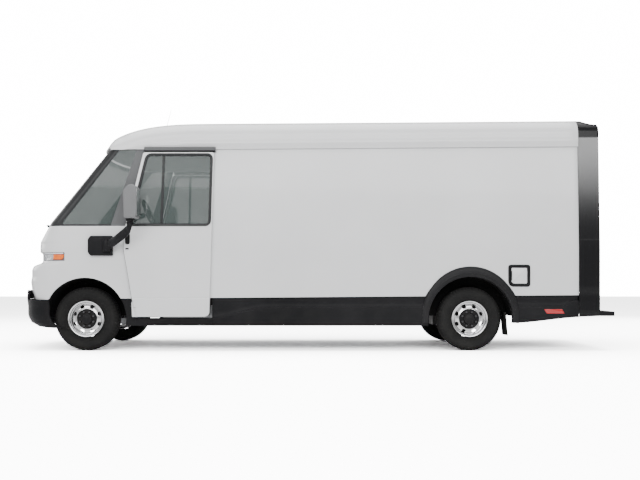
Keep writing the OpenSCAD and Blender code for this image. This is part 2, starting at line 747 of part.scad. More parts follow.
module door_handle(s) {
  color("black") side(s) difference() {
    union() {
      translate([handle_x, handle_pin_y, door_handle_z - handle_h / 2]) cylinder(handle_h, 7, 7);
      box([handle_x, handle_pin_y - 1, door_handle_z - handle_h / 2],
          [handle_x + handle_l, handle_pin_y + 7, door_handle_z + handle_h / 2]);
    }
    translate([handle_x, handle_pin_y, door_handle_z - handle_h]) cylinder(handle_h * 2, 4 + run_gap,
      4 + run_gap);
  }
}
module door_handle_left() { door_handle(-1); }
module door_handle_right() { door_handle(1); }

module door_glass(s) {
  color("lightseagreen", 0.5) side(s) side_skin(window_points(), door_gap + 14, door_gap + 14 + glass_t);
}
module door_glass_left() { door_glass(-1); }
module door_glass_right() { door_glass(1); }

module door_tracks() {
  w = side_y(door_top_z);
  x0 = door_front_x(door_top_z) + 8;
  x1 = door_rear_x(door_top_z) + 20;
  color("gray") both() {
    difference() {
      box([x0, w + 0.5, door_top_z + 5], [x1, w + door_gap + door_t + 6, door_top_z + 68]);
      box([x0 + 20, w + 12, door_top_z + 4], [x1 - 12, w + 30, door_top_z + 50]);
    }
  }
}

// ---- Mirrors and wipers ----
mirror_x = x_fa + 279;
mirror_y = half_w + 62;
mirror_z = 1272;
mirror_pin_r = 12;
head_x = x_fa + 627;
head_y = 1322 + half_w - 1065;
head_z0 = 1576;
head_z1 = 1974;

module mirror_bases() {
  base = [[-228, -124], [73, -124], [73, 70], [30, 123], [-190, 123], [-228, 84]];
  color("black") both() {
    side_skin([for (p = base) [mirror_x + p[0], mirror_z + p[1]]], 0.2, 20);
    for (z = [-62, 42])
      difference() {
        union() {
          translate([mirror_x, mirror_y, mirror_z + z]) cylinder(20, 30, 30);
          box([mirror_x - 30, half_w + 20, mirror_z + z], [mirror_x + 30, mirror_y, mirror_z + z + 20]);
        }
        translate([mirror_x, mirror_y, mirror_z + z - 1]) cylinder(22, mirror_pin_r + run_gap,
          mirror_pin_r + run_gap);
      }
  }
}

module mirror_arm(s) {
  path = [[mirror_x + 40, mirror_y + 26, mirror_z + 2], [mirror_x + 110, mirror_y + 70, mirror_z + 20],
          [head_x - 20, head_y - 20, head_z0 - 100], [head_x, head_y, head_z0 - 60]];
  color("black") side(s) {
    translate([mirror_x, mirror_y, mirror_z - 62]) cylinder(124, mirror_pin_r, mirror_pin_r);
    difference() {
      translate([mirror_x, mirror_y, mirror_z - 41]) cylinder(82, 30, 30);
      translate([mirror_x, mirror_y, mirror_z - 42]) cylinder(84, mirror_pin_r, mirror_pin_r);
    }
    difference() {
      union() for (i = [0:2])
        hull() {
          translate(path[i]) sphere(30, $fn = 24);
          translate(path[i + 1]) sphere(30, $fn = 24);
        }
      translate([mirror_x, mirror_y, mirror_z - 100]) cylinder(200, 29.9, 29.9);
    }
    translate([head_x, head_y, head_z0 - 60]) cylinder(90, 9, 9);
  }
}
module mirror_arm_left() { mirror_arm(-1); }
module mirror_arm_right() { mirror_arm(1); }

module mirror_head(s) {
  outline = [[-64, head_z0], [58, head_z0], [84, head_z1 - 330], [84, head_z1 - 60], [64, head_z1],
             [-84, head_z1 - 40], [-84, head_z0 + 60]];
  color("gray") side(s) difference() {
    union() {
      xz([for (p = outline) [head_x + p[0], p[1]]], head_y - 120, head_y + 120);
      translate([head_x, head_y, head_z0 - 22]) cylinder(24, 22, 22);
    }
    translate([head_x, head_y, head_z0 - 40]) cylinder(75, 9 + run_gap, 9 + run_gap);
    box([head_x + 70, head_y - 105, head_z0 + 40], [head_x + 100, head_y + 105, head_z1 - 60]);
  }
}
module mirror_head_left() { mirror_head(-1); }
module mirror_head_right() { mirror_head(1); }

// The wiper turns about the normal of the screen at its spindle
wiper_z = 1535;
wiper_y = half_w * 0.66;
wiper_tilt = atan2(nose_x(edge_z) - nose_x(1600), edge_z - 1600);
wiper_yaw = atan(2 * bow(1600) * wiper_y / half_w / half_w);
wiper_x = nose_x(wiper_z) + bow(wiper_z) * pow(wiper_y / half_w, 2);
module wiper(s) {
  color("black") side(s) translate([wiper_x, wiper_y, wiper_z]) rotate([0, 0, -wiper_yaw]) rotate([0,
    wiper_tilt, 0]) {
    translate([-34, 0, 0]) rotate([0, 90, 0]) cylinder(26, 17, 17);
    box([-34, -560, -9], [-24, 0, 9]);
    box([-24, -690, -6], [-12, -130, 6]);
  }
}
module wiper_left() { wiper(-1); }
module wiper_right() { wiper(1); }

// ---- Cab interior ----
wheel_x = x_fa + 648;
driver_y = -450;
steer_z = 1719;
steer_tilt = 22;
steer_r = 195;
column_r = 22;
dash_r = 1230;

module dashboard() {
  outline = [[x_fa - 470, 1230], [x_fa + 330, 1180], [x_fa + 400, 1240], [x_fa + 380, 1500],
             [x_fa + 200, 1540], [x_fa - 430, 1500]];
  pod = [[x_fa + 180, 1520], [x_fa + 430, 1500], [x_fa + 500, 1690], [x_fa + 480, 1760], [x_fa + 400,
    1750]];
  color("dimgray") {
    intersection() {
      xz(outline, -half_w + 75, half_w - 75);
      translate([x_fa + 420, 0, 1000]) cylinder(700, dash_r, dash_r);
    }
    difference() {
      xz(pod, driver_y - 190, driver_y + 190);
      steer_axis() translate([0, 0, -400]) cylinder(500, column_r + 12, column_r + 12);
    }
  }
  // Fixed column tube that carries the steering shaft
  color("black") difference() {
    steer_axis() translate([0, 0, -330]) cylinder(270, column_r + 11, column_r + 11);
    steer_axis() translate([0, 0, -340]) cylinder(300, column_r + run_gap, column_r + run_gap);
  }
}

module steer_axis() {
  translate([wheel_x, driver_y, steer_z]) rotate([0, 90 - steer_tilt, 0]) children();
}

module steering_wheel() {
  color("black") steer_axis() {
    translate([0, 0, -320]) cylinder(330, column_r, column_r);
    difference() {
      translate([0, 0, -30]) cylinder(45, 62, 55);
      translate([0, 0, -31]) cylinder(41, column_r, column_r);
    }
    rotate_extrude() translate([steer_r - 16, 0]) circle(16);
    for (a = [90, 210, 330])
      rotate([0, 0, a]) box([50, -16, -8], [steer_r - 20, 16, 6]);
  }
}

seat_x = x_fa + 990;
module seat_base() {
  color("dimgray") {
    box([seat_x - 180, driver_y - 170, floor_height], [seat_x + 180, driver_y + 170, floor_height + 12]);
    difference() {
      box([seat_x - 150, driver_y - 140, floor_height + 12], [seat_x + 150, driver_y + 140,
        floor_height + 190]);
      box([seat_x - 140, driver_y - 130, floor_height], [seat_x + 140, driver_y + 130, floor_height + 182]);
    }
    for (y = [-160, 130])
      box([seat_x - 240, driver_y + y, floor_height + 190], [seat_x + 240, driver_y + y + 30,
        floor_height + 205]);
  }
}

seat_z = floor_height + 206;
recline_z = seat_z + 90;
recline_x = seat_x + 235;
module seat_cushion() {
  color("darkslategray") {
    box([seat_x - 250, driver_y - 245, seat_z + 30], [seat_x + 200, driver_y + 245, seat_z + 160]);
    box([seat_x - 240, driver_y - 180, seat_z], [seat_x + 190, driver_y + 180, seat_z + 30]);
    for (y = [-262, 250])
      difference() {
        box([seat_x - 60, driver_y + y, seat_z + 31], [recline_x + 30, driver_y + y + 12, seat_z + 125]);
        rod_y(recline_x, driver_y + y - 1, driver_y + y + 13, recline_z, 10 + run_gap);
      }
    for (y = [-262, 244])
      box([seat_x - 60, driver_y + y, seat_z + 1], [seat_x + 150, driver_y + y + 18, seat_z + 31]);
    box([seat_x - 60, driver_y - 262, seat_z + 1], [seat_x + 100, driver_y - 180, seat_z + 29]);
    box([seat_x - 60, driver_y + 180, seat_z + 1], [seat_x + 100, driver_y + 262, seat_z + 29]);
  }
}

module seat_back() {
  color("darkslategray") {
    rod_y(recline_x, driver_y - 262, driver_y + 262, recline_z, 10);
    difference() {
      xz([[recline_x - 25, recline_z - 20], [recline_x + 30, recline_z - 25], [recline_x + 130,
        recline_z + 470],
          [recline_x + 100, recline_z + 500], [recline_x + 40, recline_z + 490]], driver_y - 240,
            driver_y + 240);
      rod_y(recline_x, driver_y - 250, driver_y + 250, recline_z, 10);
    }
  }
}

pedal_x = x_fa + 330;
pedal_z = floor_height + 22;
pedal_pin_r = 6;
// Each pedal: middle in Y, width, and how far it leans to the front, in degrees
brake = [driver_y - 4, 100, 32];
throttle = [driver_y + 120, 70, 36];

module pedal(p) {
  a = p[2];
  along = [-sin(a), cos(a)];
  across = [cos(a), sin(a)];
  corner = function(l, t) [pedal_x, pedal_z] + l * along + t * across;
  difference() {
    union() {
      rod_y(pedal_x, p[0] - p[1] / 2, p[0] + p[1] / 2, pedal_z, pedal_pin_r + 6);
      xz([corner(0, -7), corner(210, -7), corner(210, 7), corner(0, 7)], p[0] - p[1] / 2, p[0] + p[1] / 2);
    }
    rod_y(pedal_x, p[0] - p[1], p[0] + p[1], pedal_z, pedal_pin_r + run_gap);
  }
}
module brake_pedal() { color("black") pedal(brake); }
module accelerator() { color("black") pedal(throttle); }

// Pin and ears on the floor that carry a pedal
module pedal_bracket(p) {
  y0 = p[0] - p[1] / 2;
  y1 = p[0] + p[1] / 2;
  rod_y(pedal_x, y0 - 6, y1 + 6, pedal_z, pedal_pin_r);
  for (y = [y0 - 12, y1 + 2])
    box([pedal_x - 14, y, floor_height], [pedal_x + 14, y + 10, pedal_z + 14]);
}

// ---- Axles and wheels ----
spring_half = 420;
spring_eye_z = 505;
spring_z = wheel_z + 62;
leaf_t = 12;
axle_r = 50;
pin_y = half_w - 265;

module leaf_pack(x) {
  drop = spring_eye_z - 40 - spring_z;
  n = 10;
  both() for (k = [0:2]) {
    half_l = spring_half - k * 110;
    z = function(t) spring_z + drop * t * t + (3 - 1 - k) * (leaf_t + 1);
    low = [for (i = [-n:n]) let(t = i / n * half_l / spring_half) [x + t * spring_half, z(t)]];
    xz(concat(low, [for (i = [2 * n:-1:0]) [low[i][0], low[i][1] + leaf_t]]), rail_y + 12,
      rail_y + rail_w - 12);
  }
}
module front_springs() { color("dimgray") leaf_pack(x_fa); }
module rear_springs() { color("dimgray") leaf_pack(x_ra); }

module front_axle() {
  z0 = wheel_z - 30;
  color("dimgray") {
    difference() {
      box([x_fa - 28, -pin_y, z0 - 25], [x_fa + 28, pin_y, z0 + 25]);
      both() translate([x_fa, pin_y, 0]) cylinder(900, 40, 40);
    }
    both() difference() {
      translate([x_fa, pin_y, z0 - 25]) cylinder(50, 40, 40);
      translate([x_fa, pin_y, z0 - 30]) cylinder(60, kingpin_r + run_gap, kingpin_r + run_gap);
    }
    // Spring seats
    both() box([x_fa - 50, rail_y + 8, z0 + 25], [x_fa + 50, rail_y + rail_w - 8, spring_z - 1]);
  }
}

module knuckle(s) {
  z0 = wheel_z - 30;
  color("gray") side(s) {
    translate([x_fa, pin_y, z0 - 60]) cylinder(120, kingpin_r, kingpin_r);
    difference() {
      union() {
        for (z = [z0 - 60, z0 + 28])
          translate([x_fa, pin_y, z]) cylinder(32, 34, 34);
        box([x_fa - 32, pin_y + 42, z0 - 60], [x_fa + 32, pin_y + 62, z0 + 90]);
        for (z = [z0 - 60, z0 + 28])
          box([x_fa - 30, pin_y, z], [x_fa + 30, pin_y + 43, z + 32]);
        // Brake drum backing
        rod_y(x_fa, pin_y + 62, pin_y + 70, wheel_z, 150);
        // Steering arm
        box([x_fa + 30, pin_y - 60, z0 - 60], [x_fa + 120, pin_y - 30, z0 - 30]);
        box([x_fa - 20, pin_y - 60, z0 - 60], [x_fa + 60, pin_y, z0 - 30]);
      }
      translate([x_fa, pin_y, z0 - 61]) cylinder(122, kingpin_r, kingpin_r);
    }
    rod_y(x_fa, pin_y + 70, wheel_y + 60, wheel_z, spindle_r);
  }
}
module knuckle_left() { knuckle(-1); }
module knuckle_right() { knuckle(1); }

module rear_axle() {
  color("dimgray") {
    rod_y(x_ra, -wheel_y + 60, wheel_y - 60, wheel_z, axle_r);
    both() rod_y(x_ra, wheel_y - 60, wheel_y + 60, wheel_z, spindle_r);
    both() rod_y(x_ra, wheel_y - 68, wheel_y - 60, wheel_z, 150);
    // Motor and final drive in the middle of the axle
    rod_y(x_ra, -190, 190, wheel_z, 130);
    box([x_ra - 330, -170, wheel_z - 110], [x_ra - 60, 170, wheel_z + 110]);
    both() box([x_ra - 50, rail_y + 8, wheel_z], [x_ra + 50, rail_y + rail_w - 8, spring_z - 1]);
  }
}

bead_r = rim_d / 2 - 14;
module tyre(x, s) {
  r = tyre_d / 2;
  w = tyre_w / 2;
  b = bead_r + 0.3;
  profile = concat(
    [[b, -w + 38], [b, -w + 26]],
    [for (i = [0:5]) let(a = i * 18) [b + 20 + (r - 14 - b - 20) * (1 - cos(a)) * 0.62 + i * 7.4,
      -w + 19 * (1 - sin(a))]],
    [[r - 12, -w + 6], [r - 3, -w + 22], [r, -w + 44], [r, w - 44], [r - 3, w - 22], [r - 12, w - 6]],
    [for (i = [5:-1:0]) let(a = i * 18) [b + 20 + (r - 14 - b - 20) * (1 - cos(a)) * 0.62 + i * 7.4,
      w - 19 * (1 - sin(a))]],
    [[b, w - 26], [b, w - 38], [b + 30, w - 31], [r - 34, w - 20],
     [r - 26, w - 50], [r - 26, -w + 50], [r - 34, -w + 20], [b + 30, -w + 31]]);
  color("dimgray") side(s) translate([x, wheel_y, wheel_z]) rotate([-90, 0,
    0]) rotate_extrude($fn = 96) polygon(profile);
}

rim_t = 8;
disc_y = 52;
hole_ring_r = 156;
hand_hole_r = 24;
hub_r = 104;
hub_wall = 40;
hub_back = -20;
hub_l = 104;
hub_cap = 14;
stud_ring_r = 86;
module rim(x, s) {
  w = tyre_w / 2;
  flange = rim_d / 2;
  barrel = [[bead_r - rim_t, -w + 14], [flange, -w + 8], [flange, -w + 16], [bead_r, -w + 20], [bead_r,
    w - 20],
            [flange, w - 16], [flange, w - 8], [bead_r - rim_t, w - 14]];
  disc = [[spindle_r + hub_wall, disc_y - 10], [hub_r, disc_y - 4], [hub_r + 24, disc_y + 12],
    [hole_ring_r, disc_y + 14],
          [bead_r - rim_t, disc_y - 8], [bead_r - rim_t, disc_y - 18], [hole_ring_r, disc_y + 5],
          [hub_r + 24, disc_y + 2], [hub_r - 4, disc_y - 14], [spindle_r + hub_wall, disc_y - 20]];
  color("silver") side(s) translate([x, wheel_y, wheel_z]) rotate([-90, 0, 0]) {
    difference() {
      rotate_extrude($fn = 96) polygon(disc);
      for (i = [0:7])
        rotate([0, 0, i * 45 + 22.5]) translate([hole_ring_r, 0, 0]) cylinder(200, hand_hole_r,
          hand_hole_r);
    }
    rotate_extrude($fn = 96) polygon(barrel);
    difference() {
      translate([0, 0, hub_back]) cylinder(hub_l, spindle_r + hub_wall, spindle_r + hub_wall);
      translate([0, 0, hub_back - 1]) cylinder(hub_l - hub_cap, spindle_r + run_gap, spindle_r + run_gap);
    }
    for (i = [0:7])
      rotate([0, 0, i * 45]) translate([stud_ring_r, 0, disc_y - 8]) cylinder(26, 14, 14, $fn = 6);
  }
}

module tyre_front_left() { tyre(x_fa, -1); }
module tyre_front_right() { tyre(x_fa, 1); }
module tyre_rear_left() { tyre(x_ra, -1); }
module tyre_rear_right() { tyre(x_ra, 1); }
module rim_front_left() { rim(x_fa, -1); }
module rim_front_right() { rim(x_fa, 1); }
module rim_rear_left() { rim(x_ra, -1); }
module rim_rear_right() { rim(x_ra, 1); }

// ---- Roof fittings ----
antenna_x = x_fa + 760;
antenna_r = 8;
antenna_top = 3147;
module antenna() {
  z0 = roof_z(antenna_x) + 2;
  color("black") {
    translate([antenna_x, 0, z0 - 30]) cylinder(34, antenna_r - 0.5, antenna_r - 0.5);
    translate([antenna_x, 0, z0 + 4]) cylinder(30, 28, 16);
    translate([antenna_x, 0, z0 + 30]) rotate([0, atan2(100, antenna_top - z0 - 30), 0])
      cylinder(norm([100, antenna_top - z0 - 34]), 4, 2.5, $fn = 16);
  }
}

ladder_frame();
battery_pack();
cab_floor();
cargo_floor();
side_panel_left();
side_panel_right();
roof_panel();
nose_panel();
front_fenders();
cab_pillars();
cab_glass();
front_bumper();
front_lamps();
bulkhead();
bulkhead_door();
claddings();
rear_frame();
rear_door_left();
rear_door_right();
rear_handle();
tail_lamps();
rear_step();
charge_port();
charge_door();
cab_door_left();
cab_door_right();
door_glass_left();
door_glass_right();
door_handle_left();
door_handle_right();
door_tracks();
mirror_bases();
mirror_arm_left();
mirror_arm_right();
mirror_head_left();
mirror_head_right();
wiper_left();
wiper_right();
dashboard();
steering_wheel();
seat_base();
seat_cushion();
seat_back();
brake_pedal();
accelerator();
antenna();
front_springs();
rear_springs();
front_axle();
rear_axle();
knuckle_left();
knuckle_right();
tyre_front_left();
tyre_front_right();
tyre_rear_left();
tyre_rear_right();
rim_front_left();
rim_front_right();
rim_rear_left();
rim_rear_right();
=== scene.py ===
# %% [markdown]
# # An electric step van for mail rounds
#
# The truck is a white box on a black skirt, with a short sloping nose and a big window on each
# cab door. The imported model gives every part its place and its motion. This script gives the
# parts their looks: smooth shells for the body, treaded tyres, glass, lamps and a driver's cab.
#
# Every new piece is a surface worked out with numpy on a grid, so its shape is one formula and
# can be read as one. The truck's front points to -X, its right side to +Y, and up is +Z.

import json
import math

import bmesh
import bpy
import numpy as np
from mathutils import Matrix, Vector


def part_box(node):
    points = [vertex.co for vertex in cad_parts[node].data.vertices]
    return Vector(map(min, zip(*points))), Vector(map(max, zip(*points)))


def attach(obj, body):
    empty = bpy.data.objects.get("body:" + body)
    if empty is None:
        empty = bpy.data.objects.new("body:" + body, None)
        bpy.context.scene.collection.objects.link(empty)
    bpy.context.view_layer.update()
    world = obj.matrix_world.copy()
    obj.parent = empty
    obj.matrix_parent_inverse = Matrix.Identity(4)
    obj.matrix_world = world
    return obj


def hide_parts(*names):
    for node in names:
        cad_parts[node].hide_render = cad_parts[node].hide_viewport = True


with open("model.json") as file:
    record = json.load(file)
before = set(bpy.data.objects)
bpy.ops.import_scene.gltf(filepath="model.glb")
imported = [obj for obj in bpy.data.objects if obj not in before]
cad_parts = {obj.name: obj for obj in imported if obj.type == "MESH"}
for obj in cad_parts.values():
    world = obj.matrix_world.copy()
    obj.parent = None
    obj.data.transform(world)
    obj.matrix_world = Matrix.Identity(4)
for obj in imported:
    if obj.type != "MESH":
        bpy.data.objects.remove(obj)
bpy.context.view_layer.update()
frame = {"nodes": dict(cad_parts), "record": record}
nodes = frame["nodes"]

# %% [markdown]
# ## Camera, floor and light
#
# The camera looks straight along +Y at the truck's left side, low, at about a person's chest.
# A longer lens keeps the box of the body square. The sensor is shifted up so that the camera
# stays level and upright lines stay upright.

# %% Camera
LENS_MM = 45.9
SENSOR_MM = 36.0
EYE = (0.053, -10.92, 0.803)
SHIFT = (0.0063, 0.0698)

camera_data = bpy.data.cameras.new("camera")
camera_data.lens = LENS_MM
camera_data.sensor_width = SENSOR_MM
camera_data.shift_x, camera_data.shift_y = SHIFT
camera_data.clip_end = 200.0
camera = bpy.data.objects.new("camera", camera_data)
camera.location = EYE
camera.rotation_euler = (math.radians(90), 0, 0)
bpy.context.scene.collection.objects.link(camera)
bpy.context.scene.camera = camera


# %% [markdown]
# The set is a studio cyclorama: a pale floor, a pale world, a broad soft light overhead and one
# from the camera's side. Large lights make the long soft gradients that show off smooth paint.


# %% Floor, world and lights
def area_light(name, place, target, size, power):
    """A square lamp at place that faces target; power is in watts."""
    data = bpy.data.lights.new(name, "AREA")
    data.shape = "RECTANGLE"
    data.size, data.size_y = size
    data.energy = power
    lamp = bpy.data.objects.new(name, data)
    aim = np.array(target, float) - np.array(place, float)
    flat = math.hypot(aim[0], aim[1])
    lamp.location = place
    lamp.rotation_euler = (math.atan2(flat, -aim[2]), 0, math.atan2(aim[1], aim[0]) - math.pi / 2)
    bpy.context.scene.collection.objects.link(lamp)
    return lamp


area_light("key_top", (0, -1.0, 9.0), (0, 0, 0), (12, 7), 900)
area_light("key_side", (-1.0, -13.0, 7.0), (0, 0, 1.6), (22, 5), 1500)
area_light("fill_rear", (9.0, 6.0, 5.0), (0, 0, 1.2), (6, 5), 300)
area_light("fill_front", (-10.0, 3.0, 4.0), (-2, 0, 1.2), (6, 5), 300)

world = bpy.data.worlds.new("studio")
world.use_nodes = True
backdrop = world.node_tree.nodes["Background"]
backdrop.inputs[0].default_value = (1.0, 1.0, 1.0, 1.0)
# The camera sees a brighter backdrop than the one that lights the truck
path = world.node_tree.nodes.new("ShaderNodeLightPath")
through_glass = world.node_tree.nodes.new("ShaderNodeMapRange")
through_glass.inputs["To Min"].default_value = 1.0
through_glass.inputs["To Max"].default_value = 0.06
world.node_tree.links.new(path.outputs["Transparent Depth"], through_glass.inputs["Value"])
joined = world.node_tree.nodes.new("ShaderNodeMath")
joined.operation = "MULTIPLY"
world.node_tree.links.new(path.outputs["Is Camera Ray"], joined.inputs[0])
world.node_tree.links.new(through_glass.outputs["Result"], joined.inputs[1])
seen = joined.outputs[0]
level = world.node_tree.nodes.new("ShaderNodeMapRange")
level.inputs["To Min"].default_value = 0.62
level.inputs["To Max"].default_value = 16.0
world.node_tree.links.new(seen, level.inputs["Value"])
world.node_tree.links.new(level.outputs["Result"], backdrop.inputs[1])
bpy.context.scene.world = world

# %% [markdown]
# ## Materials
#
# Each material is a Principled shader whose colour, roughness and normal come from small node
# groups. A group gives only masks, colours and normals, so the shader itself stays in the
# material. Three groups are shared: fine moulded grain, uneven gloss, and road dust low down.


# %% Node helpers
def group_socket(tree, name, kind, value=None, out=False):
    """Adds one named input or output to a node group."""
    socket = tree.interface.new_socket(name, in_out="OUTPUT" if out else "INPUT", socket_type=kind)
    if value is not None:
        socket.default_value = value
    return socket


def add(tree, kind, **settings):
    """A new node of that kind, with its plain settings made."""
    node = tree.nodes.new(kind)
    for key, value in settings.items():
        setattr(node, key, value)
    return node


def math_node(tree, operation, a, b):
    """A Math node; a and b are sockets or numbers."""
    node = add(tree, "ShaderNodeMath", operation=operation)
    for socket, value in zip(node.inputs, (a, b)):
        if isinstance(value, (int, float)):
            socket.default_value = value
        else:
            tree.links.new(value, socket)
    return node.outputs[0]


def ramp(tree, value, low, high, a=0.0, b=1.0):
    """Value carried smoothly from the range low..high to the range a..b."""
    node = add(tree, "ShaderNodeMapRange", interpolation_type="SMOOTHSTEP")
    tree.links.new(value, node.inputs["Value"])
    for key, number in (("From Min", low), ("From Max", high), ("To Min", a), ("To Max", b)):
        node.inputs[key].default_value = number
    return node.outputs[0]


def mix_colours(tree, factor, a, b):
    """Colour a where factor is 0 and b where it is 1; each is a socket or a colour."""
    node = add(tree, "ShaderNodeMix", data_type="RGBA")
    tree.links.new(factor, node.inputs[0])
    for socket, value in zip((node.inputs[6], node.inputs[7]), (a, b)):
        if isinstance(value, tuple):
            socket.default_value = value
        else:
            tree.links.new(value, socket)
    return node.outputs[2]


def noise(tree, vector, scale, detail=4.0, rough=0.55):
    """Fractal noise; scale is in cells per metre."""
    node = add(tree, "ShaderNodeTexNoise")
    tree.links.new(vector, node.inputs["Vector"])
    node.inputs["Scale"].default_value = scale
    node.inputs["Detail"].default_value = detail
    node.inputs["Roughness"].default_value = rough
    return node.outputs["Fac"]


# %% Shared groups
def make_grain():
    """Moulded grain: small cells and finer noise, as a height; Scale is in cells per metre."""
    tree = bpy.data.node_groups.new("moulded_grain", "ShaderNodeTree")
    group_socket(tree, "Vector", "NodeSocketVector")
    group_socket(tree, "Scale", "NodeSocketFloat", 400.0)
    group_socket(tree, "Height", "NodeSocketFloat", out=True)
    inlet, outlet = add(tree, "NodeGroupInput"), add(tree, "NodeGroupOutput")
    cells = add(tree, "ShaderNodeTexVoronoi", feature="SMOOTH_F1")
    fine = add(tree, "ShaderNodeTexNoise")
    for node in (cells, fine):
        tree.links.new(inlet.outputs["Vector"], node.inputs["Vector"])
        tree.links.new(inlet.outputs["Scale"], node.inputs["Scale"])
    height = math_node(tree, "ADD", cells.outputs["Distance"], fine.outputs["Fac"])
    tree.links.new(height, outlet.inputs["Height"])
    return tree


def make_gloss_drift():
    """Slow drift in gloss and shade, as a finish has over a metre or two."""
    tree = bpy.data.node_groups.new("gloss_drift", "ShaderNodeTree")
    group_socket(tree, "Vector", "NodeSocketVector")
    group_socket(tree, "Drift", "NodeSocketFloat", out=True)
    group_socket(tree, "Speckle", "NodeSocketFloat", out=True)
    inlet, outlet = add(tree, "NodeGroupInput"), add(tree, "NodeGroupOutput")
    slow = noise(tree, inlet.outputs["Vector"], 0.9, 3.0)
    fast = noise(tree, inlet.outputs["Vector"], 60.0, 5.0, 0.7)
    tree.links.new(slow, outlet.inputs["Drift"])
    tree.links.new(fast, outlet.inputs["Speckle"])
    return tree


def make_road_dust():
    """Dust mask: full at Low, gone at High, broken up by noise."""
    tree = bpy.data.node_groups.new("road_dust", "ShaderNodeTree")
    group_socket(tree, "Vector", "NodeSocketVector")
    group_socket(tree, "Low", "NodeSocketFloat", 0.2)
    group_socket(tree, "High", "NodeSocketFloat", 0.8)
    group_socket(tree, "Mask", "NodeSocketFloat", out=True)
    inlet, outlet = add(tree, "NodeGroupInput"), add(tree, "NodeGroupOutput")
    parts = add(tree, "ShaderNodeSeparateXYZ")
    tree.links.new(inlet.outputs["Vector"], parts.inputs[0])
    fall = add(tree, "ShaderNodeMapRange")
    tree.links.new(parts.outputs["Z"], fall.inputs["Value"])
    tree.links.new(inlet.outputs["Low"], fall.inputs["From Min"])
    tree.links.new(inlet.outputs["High"], fall.inputs["From Max"])
    fall.inputs["To Min"].default_value, fall.inputs["To Max"].default_value = 1.0, 0.0
    patch = ramp(tree, noise(tree, inlet.outputs["Vector"], 7.0, 6.0), 0.35, 0.7)
    mask = math_node(tree, "MULTIPLY", fall.outputs[0], patch)
    tree.links.new(mask, outlet.inputs["Mask"])
    return tree


GRAIN, GLOSS_DRIFT, ROAD_DUST = make_grain(), make_gloss_drift(), make_road_dust()
DUST_COLOUR = (0.20, 0.18, 0.155, 1.0)


def place_group(tree, group, vector, **values):
    """One of the shared groups inside a material, with its own values."""
    node = add(tree, "ShaderNodeGroup", node_tree=group)
    tree.links.new(vector, node.inputs["Vector"])
    for key, value in values.items():
        node.inputs[key].default_value = value
    return node


def bump(tree, shader, height, strength, distance):
    """Feeds a height to the shader's normal."""
    node = add(tree, "ShaderNodeBump")
    node.inputs["Strength"].default_value = strength
    node.inputs["Distance"].default_value = distance
    tree.links.new(height, node.inputs["Height"])
    tree.links.new(node.outputs[0], shader.inputs["Normal"])


def start_material(name, metallic=0.0, rough=0.5, coat=0.0, ior=1.5):
    """A material, its tree, its Principled shader and Object coordinates."""
    material = bpy.data.materials.new(name)
    material.use_nodes = True
    tree = material.node_tree
    shader = tree.nodes["Principled BSDF"]
    shader.inputs["Metallic"].default_value = metallic
    shader.inputs["Roughness"].default_value = rough
    shader.inputs["Coat Weight"].default_value = coat
    shader.inputs["Coat Roughness"].default_value = 0.06
    shader.inputs["IOR"].default_value = ior
    coordinates = add(tree, "ShaderNodeTexCoord").outputs["Object"]
    return material, tree, shader, coordinates


# %% [markdown]
# Body paint is an off-white solid colour under clear coat. Its tone drifts a little over each
# panel, its coat has a faint orange-peel ripple, and dust gathers near the wheels.


# %% Paints
def painted(name, colour, rough, coat, peel, dust, fade=None):
    """Coated paint: peel is the ripple's depth in metres, dust the share of dust low down.

    fade gives the heights in metres between which a dark colour turns lighter. That stands in for
    the reflection of a bright ceiling in the gloss.
    """
    material, tree, shader, where = start_material(name, rough=rough, coat=coat)
    drift = place_group(tree, GLOSS_DRIFT, where)
    darker = tuple(c * 0.955 for c in colour[:3]) + (1.0,)
    base = mix_colours(tree, ramp(tree, drift.outputs["Drift"], 0.3, 0.7), darker, colour)
    film = place_group(tree, ROAD_DUST, where, Low=0.25, High=1.0)
    share = math_node(tree, "MULTIPLY", film.outputs["Mask"], dust)
    base = mix_colours(tree, share, base, DUST_COLOUR)
    if fade:
        split = add(tree, "ShaderNodeSeparateXYZ")
        tree.links.new(where, split.inputs[0])
        rising = math_node(tree, "POWER", ramp(tree, split.outputs["Z"], fade[0], fade[1]), 1.6)
        below_slope = ramp(tree, split.outputs["Z"], 2.58, 2.6, 1.0, 0.0)
        lighter = math_node(tree, "MULTIPLY", rising, below_slope)
        base = mix_colours(tree, lighter, base, (0.26, 0.26, 0.262, 1.0))
        shader.inputs["Specular IOR Level"].default_value = 0.15
    tree.links.new(base, shader.inputs["Base Color"])
    gloss = ramp(tree, drift.outputs["Speckle"], 0.2, 0.8, rough * 0.85, rough * 1.2)
    tree.links.new(math_node(tree, "ADD", gloss, share), shader.inputs["Roughness"])
    ripple = noise(tree, where, 140.0, 2.0)
    bump(tree, shader, ripple, 0.25, peel)
    return material


paint = painted("body_paint", (0.80, 0.805, 0.815, 1.0), 0.32, 0.55, 0.0006, 0.01)
portal_paint = painted("portal_paint", (0.006, 0.006, 0.007, 1.0), 0.24, 0.12, 0.0005, 0.0,
                       fade=(1.36, 2.56))
chassis_paint = painted("chassis_paint", (0.018, 0.018, 0.02, 1.0), 0.55, 0.1, 0.0010, 0.35)
liner_paint = painted("liner_paint", (0.55, 0.56, 0.57, 1.0), 0.45, 0.1, 0.0008, 0.0)


# %% [markdown]
# The skirts, bumper and mirror arms are bare moulded plastic. Its grain catches light as a soft
# sheen, and road dust greys it low down, so the roughness and the height carry the look.


